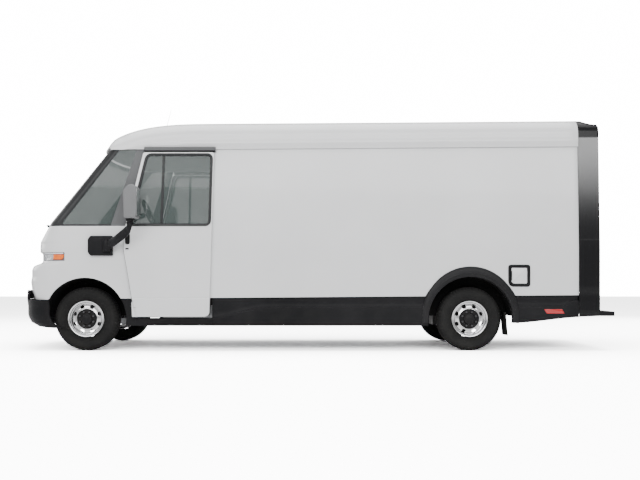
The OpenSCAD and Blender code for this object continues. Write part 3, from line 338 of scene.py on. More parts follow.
# %% Plastics and rubber
def moulded(name, colour, rough, grain_scale, depth, dust, gleam=0.12):
    """Grained plastic; grain_scale is in cells per metre and depth in metres."""
    material, tree, shader, where = start_material(name, rough=rough)
    shader.inputs["Specular IOR Level"].default_value = gleam
    drift = place_group(tree, GLOSS_DRIFT, where)
    lighter = tuple(min(1.0, c * 1.35 + 0.004) for c in colour[:3]) + (1.0,)
    base = mix_colours(tree, ramp(tree, drift.outputs["Drift"], 0.3, 0.75), colour, lighter)
    film = place_group(tree, ROAD_DUST, where, Low=0.15, High=0.9)
    share = math_node(tree, "MULTIPLY", film.outputs["Mask"], dust)
    tree.links.new(mix_colours(tree, share, base, DUST_COLOUR), shader.inputs["Base Color"])
    gloss = ramp(tree, drift.outputs["Speckle"], 0.2, 0.8, rough * 0.88, rough * 1.15)
    tree.links.new(math_node(tree, "ADD", gloss, share), shader.inputs["Roughness"])
    grain = place_group(tree, GRAIN, where, Scale=grain_scale)
    bump(tree, shader, grain.outputs["Height"], 0.5, depth)
    return material


black_plastic = moulded("black_plastic", (0.007, 0.007, 0.008, 1.0), 0.40, 700.0, 0.0006, 0.02)
grey_plastic = moulded("grey_plastic", (0.16, 0.162, 0.166, 1.0), 0.45, 900.0, 0.0004, 0.03)
dash_plastic = moulded("dash_plastic", (0.035, 0.037, 0.04, 1.0), 0.55, 600.0, 0.0006, 0.0)
seal_rubber = moulded("seal_rubber", (0.007, 0.007, 0.007, 1.0), 0.6, 500.0, 0.0004, 0.05)
tyre_rubber = moulded("tyre_rubber", (0.010, 0.010, 0.010, 1.0), 0.65, 350.0, 0.0008, 0.04)


# %% [markdown]
# Metals differ mostly in roughness. The wheel discs are bright and smooth with faint fine
# scratches, machined steel is brushed, and the cab floor is alloy plate pressed with small bars.


# %% Metals
def metal(name, colour, rough, depth, ring_axis=None):
    """Bare metal with fine scratches drawn out along X; with a ring_axis they are drawn out along Y."""
    material, tree, shader, where = start_material(name, metallic=1.0, rough=rough)
    stretch = add(tree, "ShaderNodeMapping")
    tree.links.new(where, stretch.inputs["Vector"])
    stretch.inputs["Scale"].default_value = (1.0, 14.0, 14.0) if ring_axis is None else (6.0, 1.0, 6.0)
    scratch = noise(tree, stretch.outputs[0], 90.0, 6.0, 0.7)
    drift = place_group(tree, GLOSS_DRIFT, where)
    darker = tuple(c * 0.8 for c in colour[:3]) + (1.0,)
    base = mix_colours(tree, ramp(tree, drift.outputs["Speckle"], 0.3, 0.7), darker, colour)
    tree.links.new(base, shader.inputs["Base Color"])
    tree.links.new(ramp(tree, scratch, 0.25, 0.75, rough * 0.7, rough * 1.5), shader.inputs["Roughness"])
    bump(tree, shader, scratch, 0.3, depth)
    return material


wheel_chrome = metal("wheel_chrome", (0.80, 0.80, 0.81, 1.0), 0.13, 0.0003, ring_axis="y")
brushed_steel = metal("brushed_steel", (0.46, 0.47, 0.48, 1.0), 0.32, 0.0004)
alloy = metal("cast_alloy", (0.42, 0.43, 0.44, 1.0), 0.42, 0.0006)


def make_floor_plate():
    """Alloy plate with a pressed pattern of bars at 45 degrees, 25 mm apart."""
    material, tree, shader, where = start_material("floor_plate", metallic=0.9, rough=0.42)
    turned = add(tree, "ShaderNodeMapping")
    turned.inputs["Rotation"].default_value = (0, 0, math.radians(45))
    tree.links.new(where, turned.inputs["Vector"])
    checks = add(tree, "ShaderNodeTexBrick")
    checks.inputs["Scale"].default_value = 20.0
    checks.inputs["Mortar Size"].default_value = 0.06
    checks.inputs["Mortar Smooth"].default_value = 0.6
    tree.links.new(turned.outputs[0], checks.inputs["Vector"])
    shader.inputs["Base Color"].default_value = (0.38, 0.385, 0.39, 1.0)
    drift = place_group(tree, GLOSS_DRIFT, where)
    tree.links.new(ramp(tree, drift.outputs["Speckle"], 0.2, 0.8, 0.32, 0.55), shader.inputs["Roughness"])
    bump(tree, shader, checks.outputs["Fac"], 0.6, 0.003)
    return material


floor_plate = make_floor_plate()

# %% [markdown]
# Glass is a thin tinted pane. The Principled shader with low roughness keeps a clear reflection,
# and a low alpha lets the far side of the cab show through it.


# %% Glass, lenses and cloth
def clear(name, colour, alpha, rough=0.03, transmission=0.0):
    """A see-through pane or lens with a faint film of dust that dulls it in places."""
    material, tree, shader, where = start_material(name, rough=rough, ior=1.45)
    shader.inputs["Base Color"].default_value = colour
    shader.inputs["Transmission Weight"].default_value = transmission
    film = noise(tree, where, 3.0, 5.0)
    tree.links.new(ramp(tree, film, 0.3, 0.8, rough, rough + 0.05), shader.inputs["Roughness"])
    tree.links.new(ramp(tree, film, 0.2, 0.9, alpha * 0.94, min(1.0, alpha * 1.06)), shader.inputs["Alpha"])
    return material


window_glass = clear("window_glass", (0.10, 0.125, 0.12, 1.0), 0.50)
lens_clear = clear("lens_clear", (0.75, 0.77, 0.80, 1.0), 0.30)


def make_lens(name, colour, glow):
    """A ribbed coloured lens: fine upright ribs, a deep colour and a little light of its own."""
    material, tree, shader, where = start_material(name, rough=0.16, coat=0.8)
    parts = add(tree, "ShaderNodeSeparateXYZ")
    tree.links.new(where, parts.inputs[0])
    along = math_node(tree, "ADD", parts.outputs["X"], parts.outputs["Y"])
    ribs = math_node(tree, "SINE", math_node(tree, "MULTIPLY", along, 700.0), 0.0)
    drift = place_group(tree, GLOSS_DRIFT, where)
    deeper = tuple(c * 0.75 for c in colour[:3]) + (1.0,)
    base = mix_colours(tree, ramp(tree, drift.outputs["Speckle"], 0.3, 0.7), deeper, colour)
    tree.links.new(base, shader.inputs["Base Color"])
    shader.inputs["Emission Color"].default_value = colour
    shader.inputs["Emission Strength"].default_value = glow
    bump(tree, shader, ribs, 0.4, 0.001)
    return material


amber_lens = make_lens("amber_lens", (0.95, 0.17, 0.01, 1.0), 0.18)
red_lens = make_lens("red_lens", (0.55, 0.006, 0.008, 1.0), 0.05)


def make_cloth():
    """Woven seat cloth: two crossed waves 2 mm apart, painted darker where the weave lies low as painted
    shade.
    """
    material, tree, shader, where = start_material("seat_cloth", rough=0.85)
    shader.inputs["Sheen Weight"].default_value = 0.35
    height = None
    for direction in ("X", "Y"):
        wave = add(tree, "ShaderNodeTexWave", bands_direction=direction)
        wave.inputs["Scale"].default_value = 160.0
        wave.inputs["Distortion"].default_value = 1.2
        wave.inputs["Detail"].default_value = 2.0
        tree.links.new(where, wave.inputs["Vector"])
        height = wave.outputs["Fac"] if height is None else math_node(tree, "MULTIPLY", height,
            wave.outputs["Fac"])
    # Painted shade: the colour darkens in the low parts of the weave.
    base = mix_colours(tree, height, (0.035, 0.038, 0.043, 1.0), (0.09, 0.096, 0.105, 1.0))
    tree.links.new(base, shader.inputs["Base Color"])
    bump(tree, shader, height, 0.7, 0.001)
    return material


seat_cloth = make_cloth()

# %% [markdown]
# Every part of the imported model starts with the finish of its own slot. The parts that are
# replaced further down keep theirs too.

# %% Finish of every slot
SLOT_FINISH = {
    "body_paint": paint, "black_plastic": black_plastic, "grey_plastic": grey_plastic,
    "portal_paint": portal_paint, "frame_steel": chassis_paint, "bare_steel": brushed_steel,
    "rim_steel": wheel_chrome, "alloy": alloy, "floor_alloy": floor_plate, "liner_panel": liner_paint,
    "window": window_glass, "lamp_lens": lens_clear, "red_lens": red_lens, "tyre": tyre_rubber,
    "seat_fabric": seat_cloth, "dash_plastic": dash_plastic,
}
slot_of = {part["node"]: part["material_slot"] for part in frame["record"]["subparts"]}
for name, obj in nodes.items():
    obj.data.materials.clear()
    obj.data.materials.append(SLOT_FINISH[slot_of[name]])
print("finished", len(nodes), "parts")


# %% Studio floor
def make_floor():
    """A pale floor with a faint mottle, 90 m across, so that its edge is out of sight."""
    material, tree, shader, where = start_material("studio_floor", rough=0.55)
    tone = ramp(tree, noise(tree, where, 0.4, 3.0), 0.3, 0.7)
    shade = mix_colours(tree, tone, (0.86, 0.86, 0.86, 1.0), (0.88, 0.88, 0.88, 1.0))
    tree.links.new(shade, shader.inputs["Base Color"])
    # The camera sees the floor brighter than it lights the truck, so it runs into the backdrop
    seen = add(tree, "ShaderNodeLightPath").outputs["Is Camera Ray"]
    shade = mix_colours(tree, seen, shade, (7.5, 7.5, 7.5, 1.0))
    tree.links.new(shade, shader.inputs["Base Color"])
    half = 45.0
    mesh = bpy.data.meshes.new("floor")
    mesh.from_pydata([(-half, -half, 0), (half, -half, 0), (half, half, 0), (-half, half, 0)], [],
                     [(0, 1, 2, 3)])
    mesh.materials.append(material)
    floor = bpy.data.objects.new("floor", mesh)
    bpy.context.scene.collection.objects.link(floor)


make_floor()

# %% [markdown]
# ## Measures
#
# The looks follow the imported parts, so the places of wheels, sides and ends are read from the
# frame. Lengths below are in millimetres, as on a drawing, and become metres in the mesh.


# %% Measures from the frame
MM = 0.001


def box_mm(node):
    """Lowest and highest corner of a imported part, in millimetres."""
    low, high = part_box(node)
    return np.array(low) / MM, np.array(high) / MM


rim_low, rim_high = box_mm("rim_front_left")
X_FA, WHEEL_Z = (rim_low[0] + rim_high[0]) / 2, (rim_low[2] + rim_high[2]) / 2
rear_low, rear_high = box_mm("rim_rear_left")
X_RA = (rear_low[0] + rear_high[0]) / 2
tyre_low, tyre_high = box_mm("tyre_front_left")
WHEEL_Y, TYRE_W = -(tyre_low[1] + tyre_high[1]) / 2, tyre_high[1] - tyre_low[1]
TYRE_R = (tyre_high[2] - tyre_low[2]) / 2
panel_low, panel_high = box_mm("side_panel_left")
HALF_W, X_CAP = -panel_low[1], panel_high[0]
X_FRONT = box_mm("front_bumper")[0][0]
X_BACK = round(box_mm("rear_step")[0][0])
print("front axle", X_FA, "rear axle", X_RA, "half width", HALF_W, "ends", X_FRONT, X_BACK)

# %% [markdown]
# ## Lines of the body
#
# One set of lines shapes the whole body: the side leans in above the belt, long lines rise a
# little to the rear, and the cab is wrapped round its front. The wrap has a bowed front, a
# tighter corner and a straight side. Panels, glass and lamps all lie on it, so they meet.

# %% Body lines
BELT_Z, LEAN, RAKE = 1250.0, 0.046, 0.0075
EDGE_Z, ROOF_Z, CROWN = 2445.0, 2765.0, 15.0
X_LEVEL = X_FA + 1500
ARCH_F, ARCH_R, FLARE = 500.0, 512.0, 120.0
NOSE = np.array([
    (622, 360), (737, 325), (837, 311), (900, 323), (986, 323), (1036, 347), (1075, 452), (1092, 459),
    (1196, 459), (1202, 428), (1284, 428), (1334, 435), (1434, 497), (1512, 550), (1558, 579),
    (1780, 755), (2000, 930), (2220, 1105), (2445, 1284),
], float)
DOOR_FRONT = np.array([
    (417, 631), (571, 588), (956, 524), (1212, 480), (1300, 482), (1485, 491), (2136, 642), (2404, 707),
    (2445, 718),
], float)
DOOR_REAR = np.array([(417, 1507), (2404, 1560)], float)
QUARTER_REAR = np.array([(1512, 348), (2445, 632)], float)
FLAT, TURN, GLASS, DOOR = 6.0, 10.0, 12.0, 14.0


def rise(x):
    """How much a long line has risen at x."""
    return RAKE * (x - X_LEVEL)


def clad_z(x):
    """Top of the black cladding."""
    return 643 + rise(x)


def side_y(z):
    """Half width of the body: constant to the belt, then leaning in."""
    return HALF_W - np.maximum(0, z - BELT_Z) * LEAN


def line_x(rows, z):
    """X of an edge line at height z, by straight stretches, from the front axle."""
    return X_FA + np.interp(z, rows[:, 0], rows[:, 1])


def soft_x(rows, z, reach=10.0):
    """The same line with its corners rounded: the mean over a short stretch of height."""
    return np.mean([line_x(rows, z + d) for d in np.linspace(-reach, reach, 7)], axis=0)


def nose_x(z):
    """Foremost line of the cab."""
    return soft_x(NOSE, z) - 1210


def fade_by_height(z, low, high):
    """Straight change from one value below 1300 to another above 1558."""
    return low + (high - low) * np.clip((z - 1300) / 258, 0, 1)


def front_x(z, y, w):
    """Bowed front: a parabola across the width."""
    return nose_x(z) + fade_by_height(z, 287, 230) * (y / w) ** 2


def wrap(z, k, inset=0.0):
    """Point on the cab at height z and column k; inset is the depth below the surface.

    |k| to 6 is the bowed front, to 10 the corner as a quadratic Bezier, to 12 the quarter window
    and to 14 the edge of the door. The sign of k is the side.
    """
    z, k = np.broadcast_arrays(np.asarray(z, float), np.asarray(k, float))
    a = np.abs(k)
    w = side_y(z)
    yc = w - fade_by_height(z, 190, 95)
    x0 = front_x(z, yc, w)
    x1 = x0 + 2 * fade_by_height(z, 287, 230) * yc / w ** 2 * (w - yc)
    x2 = x1 + fade_by_height(z, 230, 100)
    t = np.clip((a - FLAT) / (TURN - FLAT), 0, 1)
    y_front = yc * np.minimum(a, FLAT) / FLAT
    corner_x = (1 - t) ** 2 * x0 + 2 * t * (1 - t) * x1 + t ** 2 * x2
    corner_y = (1 - t) ** 2 * yc + (1 - (1 - t) ** 2) * w
    xg = line_x(QUARTER_REAR, np.maximum(z, 1512))
    xd = line_x(DOOR_FRONT, z) - 8
    side_x = np.where(a < GLASS, x2 + (xg - x2) * (a - TURN) / 2, xg + (xd - xg) * (a - GLASS) / 2)
    x = np.where(a <= FLAT, front_x(z, y_front, w) + inset,
                 np.where(a <= TURN, corner_x + inset * (1 - t), side_x))
    y = np.where(a <= FLAT, y_front * (1 - inset / w),
                 np.where(a <= TURN, corner_y - inset * np.minimum(1, t * 1.2), w - inset))
    return np.stack([x, np.where(k < 0, -y, y), z], -1)


# %% [markdown]
# ## How pieces are made
#
# Four helpers make nearly everything: a surface on a grid, a flat outline with depth, a profile
# turned round an axis and a tube along a path. Sheets get their wall from Solidify, and many
# cut edges a small Bevel, since a real edge is never perfectly sharp and catches a line of light.


# %% Piece helpers
def grid_faces(rows, cols, closed_rows=False, closed_cols=False):
    """Quads of rows x cols points counted row by row; a closed way joins its end to its start."""
    i, j = np.meshgrid(np.arange(rows - (not closed_rows)), np.arange(cols - (not closed_cols)),
                       indexing="ij")
    down, right = (i + 1) % rows, (j + 1) % cols
    return np.stack([i * cols + j, i * cols + right, down * cols + right, down * cols + j],
                    -1).reshape(-1, 4)


def bake(obj, smooth):
    """Turns the modifiers into mesh and shades it smooth except at edges sharper than that angle."""
    graph = bpy.context.evaluated_depsgraph_get()
    mesh = bpy.data.meshes.new_from_object(obj.evaluated_get(graph))
    obj.modifiers.clear()
    obj.data = mesh
    shell = bmesh.new()
    shell.from_mesh(mesh)
    if all(len(edge.link_faces) == 2 for edge in shell.edges):
        bmesh.ops.recalc_face_normals(shell, faces=shell.faces)
        shell.to_mesh(mesh)
    shell.free()
    mesh.shade_smooth()
    mesh.set_sharp_from_angle(angle=math.radians(smooth))


def piece(name, points, faces, material, body="chassis", stands_for=(), slot=None, thick=0.0, bevel=0.0,
          smooth=35.0, flip=False, segments=2, even=True):
    """A finished piece from points in millimetres and faces; thick adds a wall below the surface."""
    corners = [list(face)[::-1] if flip else list(face) for face in faces]
    mesh = bpy.data.meshes.new(name)
    mesh.from_pydata((np.asarray(points, float).reshape(-1, 3) * MM).tolist(), [], corners)
    mesh.materials.append(material)
    obj = bpy.data.objects.new(name, mesh)
    bpy.context.scene.collection.objects.link(obj)
    if thick:
        wall = obj.modifiers.new("wall", "SOLIDIFY")
        wall.thickness = thick * MM
        wall.offset = -1.0
        wall.use_even_offset = even
    if bevel:
        round_off = obj.modifiers.new("round_off", "BEVEL")
        round_off.width = bevel * MM
        round_off.segments = segments
        round_off.limit_method = "ANGLE"
        round_off.angle_limit = math.radians(40)
        round_off.use_clamp_overlap = True
    bake(obj, smooth)
    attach(obj, body)
    if stands_for:
        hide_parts(*stands_for)
    return obj


def surface(name, points, material, skip=None, flip=False, **more):
    """A sheet through a grid of points of shape (rows, columns, 3); skip marks quads left open."""
    rows, cols = points.shape[:2]
    faces = grid_faces(rows, cols)
    if skip is not None:
        faces = faces[~skip.reshape(-1)]
    return piece(name, points, faces, material, flip=flip, **more)


def prism(name, outline, low, high, axis, material, **more):
    """A flat outline carried from low to high along axis x, y or z, with flat ends."""
    flat = np.asarray(outline, float)
    n = len(flat)
    place = {"x": (1, 2, 0), "y": (0, 2, 1), "z": (0, 1, 2)}[axis]
    ends = []
    for level in (low, high):
        end = np.zeros((n, 3))
        end[:, place[0]], end[:, place[1]], end[:, place[2]] = flat[:, 0], flat[:, 1], level
        ends.append(end)
    area = np.sum(flat[:, 0] * np.roll(flat[:, 1], -1) - np.roll(flat[:, 0], -1) * flat[:, 1])
    turned = (area > 0) == (axis == "y")
    sides = grid_faces(2, n, closed_cols=True)
    faces = [list(f) for f in sides] + [list(range(n))[::-1], list(range(n, 2 * n))]
    return piece(name, np.concatenate(ends), faces, material, flip=turned, **more)


def rounded_outline(corners, radius, steps=6):
    """A closed outline with each corner rounded by a quadratic arc that starts a radius before it."""
    corners = np.asarray(corners, float)
    before, after = np.roll(corners, 1, 0), np.roll(corners, -1, 0)
    radius = np.broadcast_to(np.asarray(radius, float), (len(corners),))[:, None]
    t = np.linspace(0, 1, steps)[None, :, None]
    start = corners + (before - corners) / np.linalg.norm(before - corners, axis=1)[:, None] * radius
    end = corners + (after - corners) / np.linalg.norm(after - corners, axis=1)[:, None] * radius
    arcs = (1 - t) ** 2 * start[:, None] + 2 * t * (1 - t) * corners[:, None] + t ** 2 * end[:, None]
    return arcs.reshape(-1, 2)


def box_outline(x0, z0, x1, z1):
    """Corners of a rectangle, anticlockwise."""
    return np.array([(x0, z0), (x1, z0), (x1, z1), (x0, z1)], float)


def lathe(name, profile, centre, axis, material, steps=96, **more):
    """A profile of (radius, distance along the axis), closed on itself, turned round x, y or z."""
    profile = np.asarray(profile, float)
    turn = np.linspace(0, 2 * np.pi, steps, endpoint=False)
    across, up = profile[:, 0] * np.cos(turn)[:, None], profile[:, 0] * np.sin(turn)[:, None]
    along = np.broadcast_to(profile[:, 1], across.shape)
    points = np.stack({"x": [along, across, up], "y": [up, along, across],
                       "z": [across, up, along]}[axis], -1)
    faces = grid_faces(steps, len(profile), True, True)
    return piece(name, points + np.asarray(centre, float), faces, material, **more)


def tube(name, path, radius, material, sides=16, flat=(1.0, 1.0), up=(0, 0, 1), **more):
    """A round or oval profile carried along a path, with its ends closed by small domes."""
    path = np.asarray(path, float)
    radius = np.broadcast_to(np.asarray(radius, float), (len(path),))
    along = np.gradient(path, axis=0)
    along /= np.linalg.norm(along, axis=1)[:, None]
    left = np.cross(np.asarray(up, float), along)
    left /= np.maximum(np.linalg.norm(left, axis=1), 1e-9)[:, None]
    top = np.cross(along, left)
    turn = np.linspace(0, 2 * np.pi, sides, endpoint=False)
    ring = (np.cos(turn)[None, :, None] * left[:, None] * flat[0] + np.sin(turn)[None, :, None] * top[:,
        None] * flat[1])
    body_rings = path[:, None] + ring * radius[:, None, None]
    first, last = [], []
    for share in (0.35, 0.75, 0.95):
        reach = math.sqrt(1 - share ** 2)
        first.append(path[0] - along[0] * radius[0] * reach * 0.6 + ring[0] * radius[0] * share)
        last.append(path[-1] + along[-1] * radius[-1] * reach * 0.6 + ring[-1] * radius[-1] * share)
    rings = np.concatenate([np.array(first), body_rings, np.array(last[::-1])])
    faces = [list(f) for f in grid_faces(len(rings), sides, closed_cols=True)]
    faces += [list(range(sides))[::-1], [(len(rings) - 1) * sides + j for j in range(sides)]]
    return piece(name, rings, faces, material, **more)


def curve_through(points, steps=12):
    """A smooth path through points: centripetal-like Catmull-Rom cubic between each pair."""
    p = np.asarray(points, float)
    p = np.concatenate([2 * p[:1] - p[1:2], p, 2 * p[-1:] - p[-2:-1]])
    t = np.linspace(0, 1, steps, endpoint=False)[:, None]
    parts = [0.5 * (2 * b + (c - a) * t + (2 * a - 5 * b + 4 * c - d) * t ** 2
                    + (3 * b - a - 3 * c + d) * t ** 3)
             for a, b, c, d in zip(p, p[1:], p[2:], p[3:])]
    return np.concatenate(parts + [p[-2:-1]])


# %% [markdown]
# ## Nose and front wings
#
# The nose is one moulding between two seams, and each wing runs round the corner to the door. A
# real wing is pressed steel or moulded plastic. Here it is two sheets on the wrap: the corner,
# which is left open for the lamps, and the side, whose lower edge follows the wheel arch.

# %% Nose and wings
SEAM_Y, LAMP_Y, LAMP_Z0, LAMP_Z1 = 520.0, 560.0, 1092.0, 1196.0
LAMP_X1 = X_FA - 244
nose_z = np.unique(np.concatenate([np.linspace(622, 1512, 100),
                                   [LAMP_Z0, LAMP_Z1, LAMP_Z0 + 6, LAMP_Z1 - 6]]))


def column_of(z, y):
    """Column of the bowed front that lies at distance y from the middle."""
    w = side_y(z)
    return FLAT * y / (w - fade_by_height(z, 190, 95))


def column_at_x(z, x):
    """Column of the corner at which the surface has reached x, found on a fine scale."""
    scale = np.linspace(FLAT, TURN, 400)
    return np.interp(x, wrap(z, scale)[:, 0], scale)


k_seam = column_of(nose_z, SEAM_Y - 1.5)
share = np.linspace(-1, 1, 61)
surface("nose_shell", wrap(nose_z[:, None], share[None, :] * k_seam[:, None]), paint, flip=True, thick=18,
        bevel=3, stands_for=("nose_panel",), slot="body_paint")

k_lamp = column_of(1143.0, LAMP_Y)
k_lamp_end = column_at_x(1143.0, LAMP_X1)


def make_wing(side, s):
    """Corner sheet from the seam to column 10, and side sheet from there to the door and the arch."""
    lamp_cols = np.concatenate([np.linspace(k_lamp, FLAT, 14), np.linspace(FLAT, k_lamp_end, 24)[1:]])
    cols = np.concatenate([lamp_cols, np.linspace(k_lamp_end, TURN, 6)[1:]])
    seam = column_of(nose_z, SEAM_Y + 1.5)[:, None]
    first = seam + (k_lamp - seam) * np.linspace(0, 1, 4)[None, :-1]
    k = np.concatenate([first, np.broadcast_to(cols, (len(nose_z), len(cols)))], axis=1)
    low_corner = np.full(k.shape[1], 622.0)
    for _ in range(8):
        arch_x = wrap(low_corner, k[0])[:, 0]
        low_corner = np.maximum(622.0, WHEEL_Z + np.sqrt(np.maximum(0, ARCH_F ** 2 - (arch_x - X_FA) ** 2)))
    raised = low_corner[None] + (nose_z[:, None] - 622) / 420 * (1042 - low_corner[None])
    corner_z = np.where(nose_z[:, None] < 1042, raised, nose_z[:, None])
    corner = wrap(corner_z, k * s)
    in_height = (nose_z[:-1] >= LAMP_Z0 - 0.1) & (nose_z[1:] <= LAMP_Z1 + 0.1)
    in_width = np.arange(k.shape[1] - 1)
    in_width = (in_width >= 3) & (in_width < 3 + len(lamp_cols) - 1)
    share = (1 - np.cos(np.linspace(0, np.pi, 90))) / 2
    low = np.full(len(share), 622.0)
    for _ in range(12):
        start, end = wrap(low, TURN)[:, 0], line_x(DOOR_FRONT, low) - 8
        x = start + (end - start) * share
        arch = WHEEL_Z + np.sqrt(np.maximum(0, ARCH_F ** 2 - (x - X_FA) ** 2))
        low = np.maximum(arch, np.where(x < X_FA, 622.0, clad_z(X_FA)))
    rows = np.linspace(0, 1, 60)[:, None]
    z = low[None, :] + (1512 - low[None, :]) * rows
    start, end = wrap(z, TURN)[..., 0], line_x(DOOR_FRONT, z) - 8
    flank = np.stack([start + (end - start) * share[None, :], side_y(z) * s, z], -1)
    both = np.concatenate([corner.reshape(-1, 3), flank.reshape(-1, 3)])
    skip = (in_height[:, None] & in_width[None, :]).reshape(-1)
    corner_faces = grid_faces(*corner.shape[:2])[~skip]
    faces = np.concatenate([corner_faces, grid_faces(*flank.shape[:2]) + corner.shape[0] * corner.shape[1]])
    stands = ("front_fenders",) if s < 0 else ()
    return piece("wing_" + side, both, faces, paint, flip=s > 0, thick=18, bevel=3, stands_for=stands,
                 slot="body_paint")


for side, s in (("left", -1), ("right", 1)):
    make_wing(side, s)
print("nose and wings made")

# %% [markdown]
# ## Front lamps
#
# A lamp is a deep tray, a bright reflector, a light strip along the top and a clear cover. The
# amber indicator has its own lens at the outer end. Everything lies on the same wrap, at its own
# depth, so the lamp turns the corner with the wing.


# %% Front lamps
def make_lamp(side, s):
    """Tray, reflector, light strip, cover and amber lens of one front lamp."""
    k = np.concatenate([np.linspace(k_lamp + 0.02, FLAT, 16), np.linspace(FLAT, k_lamp_end - 0.01, 30)[1:]])
    tray_rows = np.array([(LAMP_Z0 + 1, 1), (LAMP_Z0 + 1, 40), (LAMP_Z0 + 6, 46), (LAMP_Z1 - 6, 46),
                          (LAMP_Z1 - 1, 40), (LAMP_Z1 - 1, 1)])
    tray = np.stack([wrap(z, k * s, depth) for z, depth in tray_rows])
    surface("lamp_tray_" + side, tray, black_plastic, flip=s > 0, slot="black_plastic")
    k_turn = column_at_x(1143.0, X_FA - 388)
    k_turn_end = column_at_x(1143.0, X_FA - 256)
    k_head = np.linspace(k_lamp + 0.1, k_turn - 0.08, 26)
    rows = np.linspace(0, 1, 9)
    bowl_depth = 16 + 22 * np.sin(np.pi * rows)[:,
                                                None] * (0.55 + 0.45 * np.abs(np.cos(k_head * 6.3)))[None,
        :]
    bowl = wrap((LAMP_Z0 + 14 + 58 * rows)[:, None], k_head[None, :] * s, bowl_depth)
    surface("lamp_reflector_" + side, bowl, wheel_chrome, flip=s > 0, slot="bare_steel")
    strip = wrap(np.linspace(LAMP_Z1 - 20, LAMP_Z1 - 6, 4)[:, None], k[None, 1:-1] * s, 9.0)
    surface("lamp_strip_" + side, strip, strip_light, flip=s > 0, thick=5, bevel=1.5, slot="lamp_lens")
    cover = wrap(np.linspace(LAMP_Z0 + 3, LAMP_Z1 - 3, 8)[:, None],
                 np.linspace(k_lamp + 0.03, k_turn - 0.03, 30)[None] * s, 1.5)
    surface("lamp_cover_" + side, cover, lens_clear, flip=s > 0, thick=3,
            stands_for=("front_lamps",) if s < 0 else (), slot="lamp_lens")
    k_amber = np.linspace(k_turn, k_turn_end, 20)
    up = np.linspace(0, 1, 8)[:, None]
    foot = 1108 + 30 * np.clip((k_amber - k_turn_end + 0.18) / 0.18, 0, 1) ** 1.0
    amber = wrap(foot[None, :] + (1168 - foot[None, :]) * up, k_amber[None, :] * s, 0.5 + 0 * up)
    surface("indicator_lens_" + side, amber, amber_lens, flip=s > 0, thick=14, bevel=3, slot="lamp_lens")
    rim_k = np.linspace(k_turn - 0.05, k_lamp_end - 0.02, 20)
    backing = wrap(np.linspace(LAMP_Z0 + 3, LAMP_Z1 - 22, 6)[:, None], rim_k[None] * s, 18.0)
    surface("indicator_back_" + side, backing, grey_plastic, flip=s > 0, thick=4, slot="grey_plastic")


strip_light = make_lens("strip_light", (0.92, 0.94, 1.0, 1.0), 0.25)
for side, s in (("left", -1), ("right", 1)):
    make_lamp(side, s)
print("front lamps made")

# %% [markdown]
# ## Windscreen, quarter windows and posts
#
# The screen and quarter windows are thin glass on the wrap. Between them, a dark post turns the
# corner, and a grey post stands ahead of the door. The glass has a black painted border, which
# hides the glue, and that border is what reads as a dark frame from outside.


# %% Cab glass and posts
screen_z = np.linspace(1512, EDGE_Z, 48)
black_border = moulded("black_border", (0.03, 0.031, 0.032, 1.0), 0.18, 200.0, 0.0001, 0.0)
post_grey = moulded("post_grey", (0.105, 0.107, 0.11, 1.0), 0.38, 900.0, 0.0003, 0.0)
screen = wrap(screen_z[:, None], np.linspace(-FLAT, FLAT, 61)[None], 2.0)
surface("windscreen", screen, window_glass, flip=True, thick=6, stands_for=("cab_glass",), slot="window")
edge_up = np.concatenate([screen_z[:1] - 6, screen_z])
for side, s in (("left", -1), ("right", 1)):
    corner_k = np.concatenate([np.linspace(FLAT - 0.35, FLAT, 5), np.linspace(FLAT, TURN + 0.1, 22)[1:]])
    surface("corner_post_" + side, wrap(edge_up[:, None], corner_k[None] * s, 0.5), black_border,
            flip=s > 0, thick=20, bevel=2, stands_for=("cab_pillars",) if s < 0 else (),
            slot="grey_plastic")
    surface("quarter_window_" + side, wrap(screen_z[:, None], np.linspace(TURN, GLASS, 16)[None] * s, 2.5),
            window_glass, flip=s > 0, thick=6, slot="window")
    surface("door_post_" + side, wrap(edge_up[:, None], np.linspace(GLASS - 0.12, DOOR, 14)[None] * s, 0.5),
            post_grey, flip=s > 0, thick=20, bevel=2, slot="grey_plastic")
    foot_k = np.concatenate([np.linspace(FLAT - 0.3, TURN, 24), np.linspace(TURN, GLASS, 10)[1:]])
    foot = wrap(np.linspace(1506, 1534, 5)[:, None], foot_k[None] * s, 1.0)
    surface("window_foot_" + side, foot, black_border, flip=s > 0, thick=6, bevel=1, slot="black_plastic")
cowl = wrap(np.linspace(1505, 1560, 6)[:, None], np.linspace(-FLAT, FLAT, 61)[None], 0.5)
surface("screen_cowl", cowl, black_plastic, flip=True, thick=6, bevel=2, slot="black_plastic")
header = wrap(np.linspace(EDGE_Z - 45, EDGE_Z, 5)[:, None], np.linspace(-FLAT, FLAT, 61)[None], 1.0)
surface("screen_header", header, black_border, flip=True, thick=6, bevel=1, slot="black_plastic")
print("cab glass made")

# %% [markdown]
# ## Roof
#
# The roof is a single moulding. Each cross section is a crowned top, a rounded corner and a
# short straight flange with a raised rail. Towards the front the section drops along a cubic
# and its middle pushes forward, so that it meets the windscreen's curve.


# %% Roof
screen_top_x = line_x(NOSE, EDGE_Z) - 1210
cap_length = X_LEVEL - screen_top_x + 30
roof_w = side_y(EDGE_Z)


def roof_top(x):
    """Height of the roof's middle line."""
    u = np.clip((X_LEVEL + 30 - x) / cap_length, 0, 1)
    return ROOF_Z + CROWN + rise(x) - 220 * u ** 3 - 76 * u ** 20


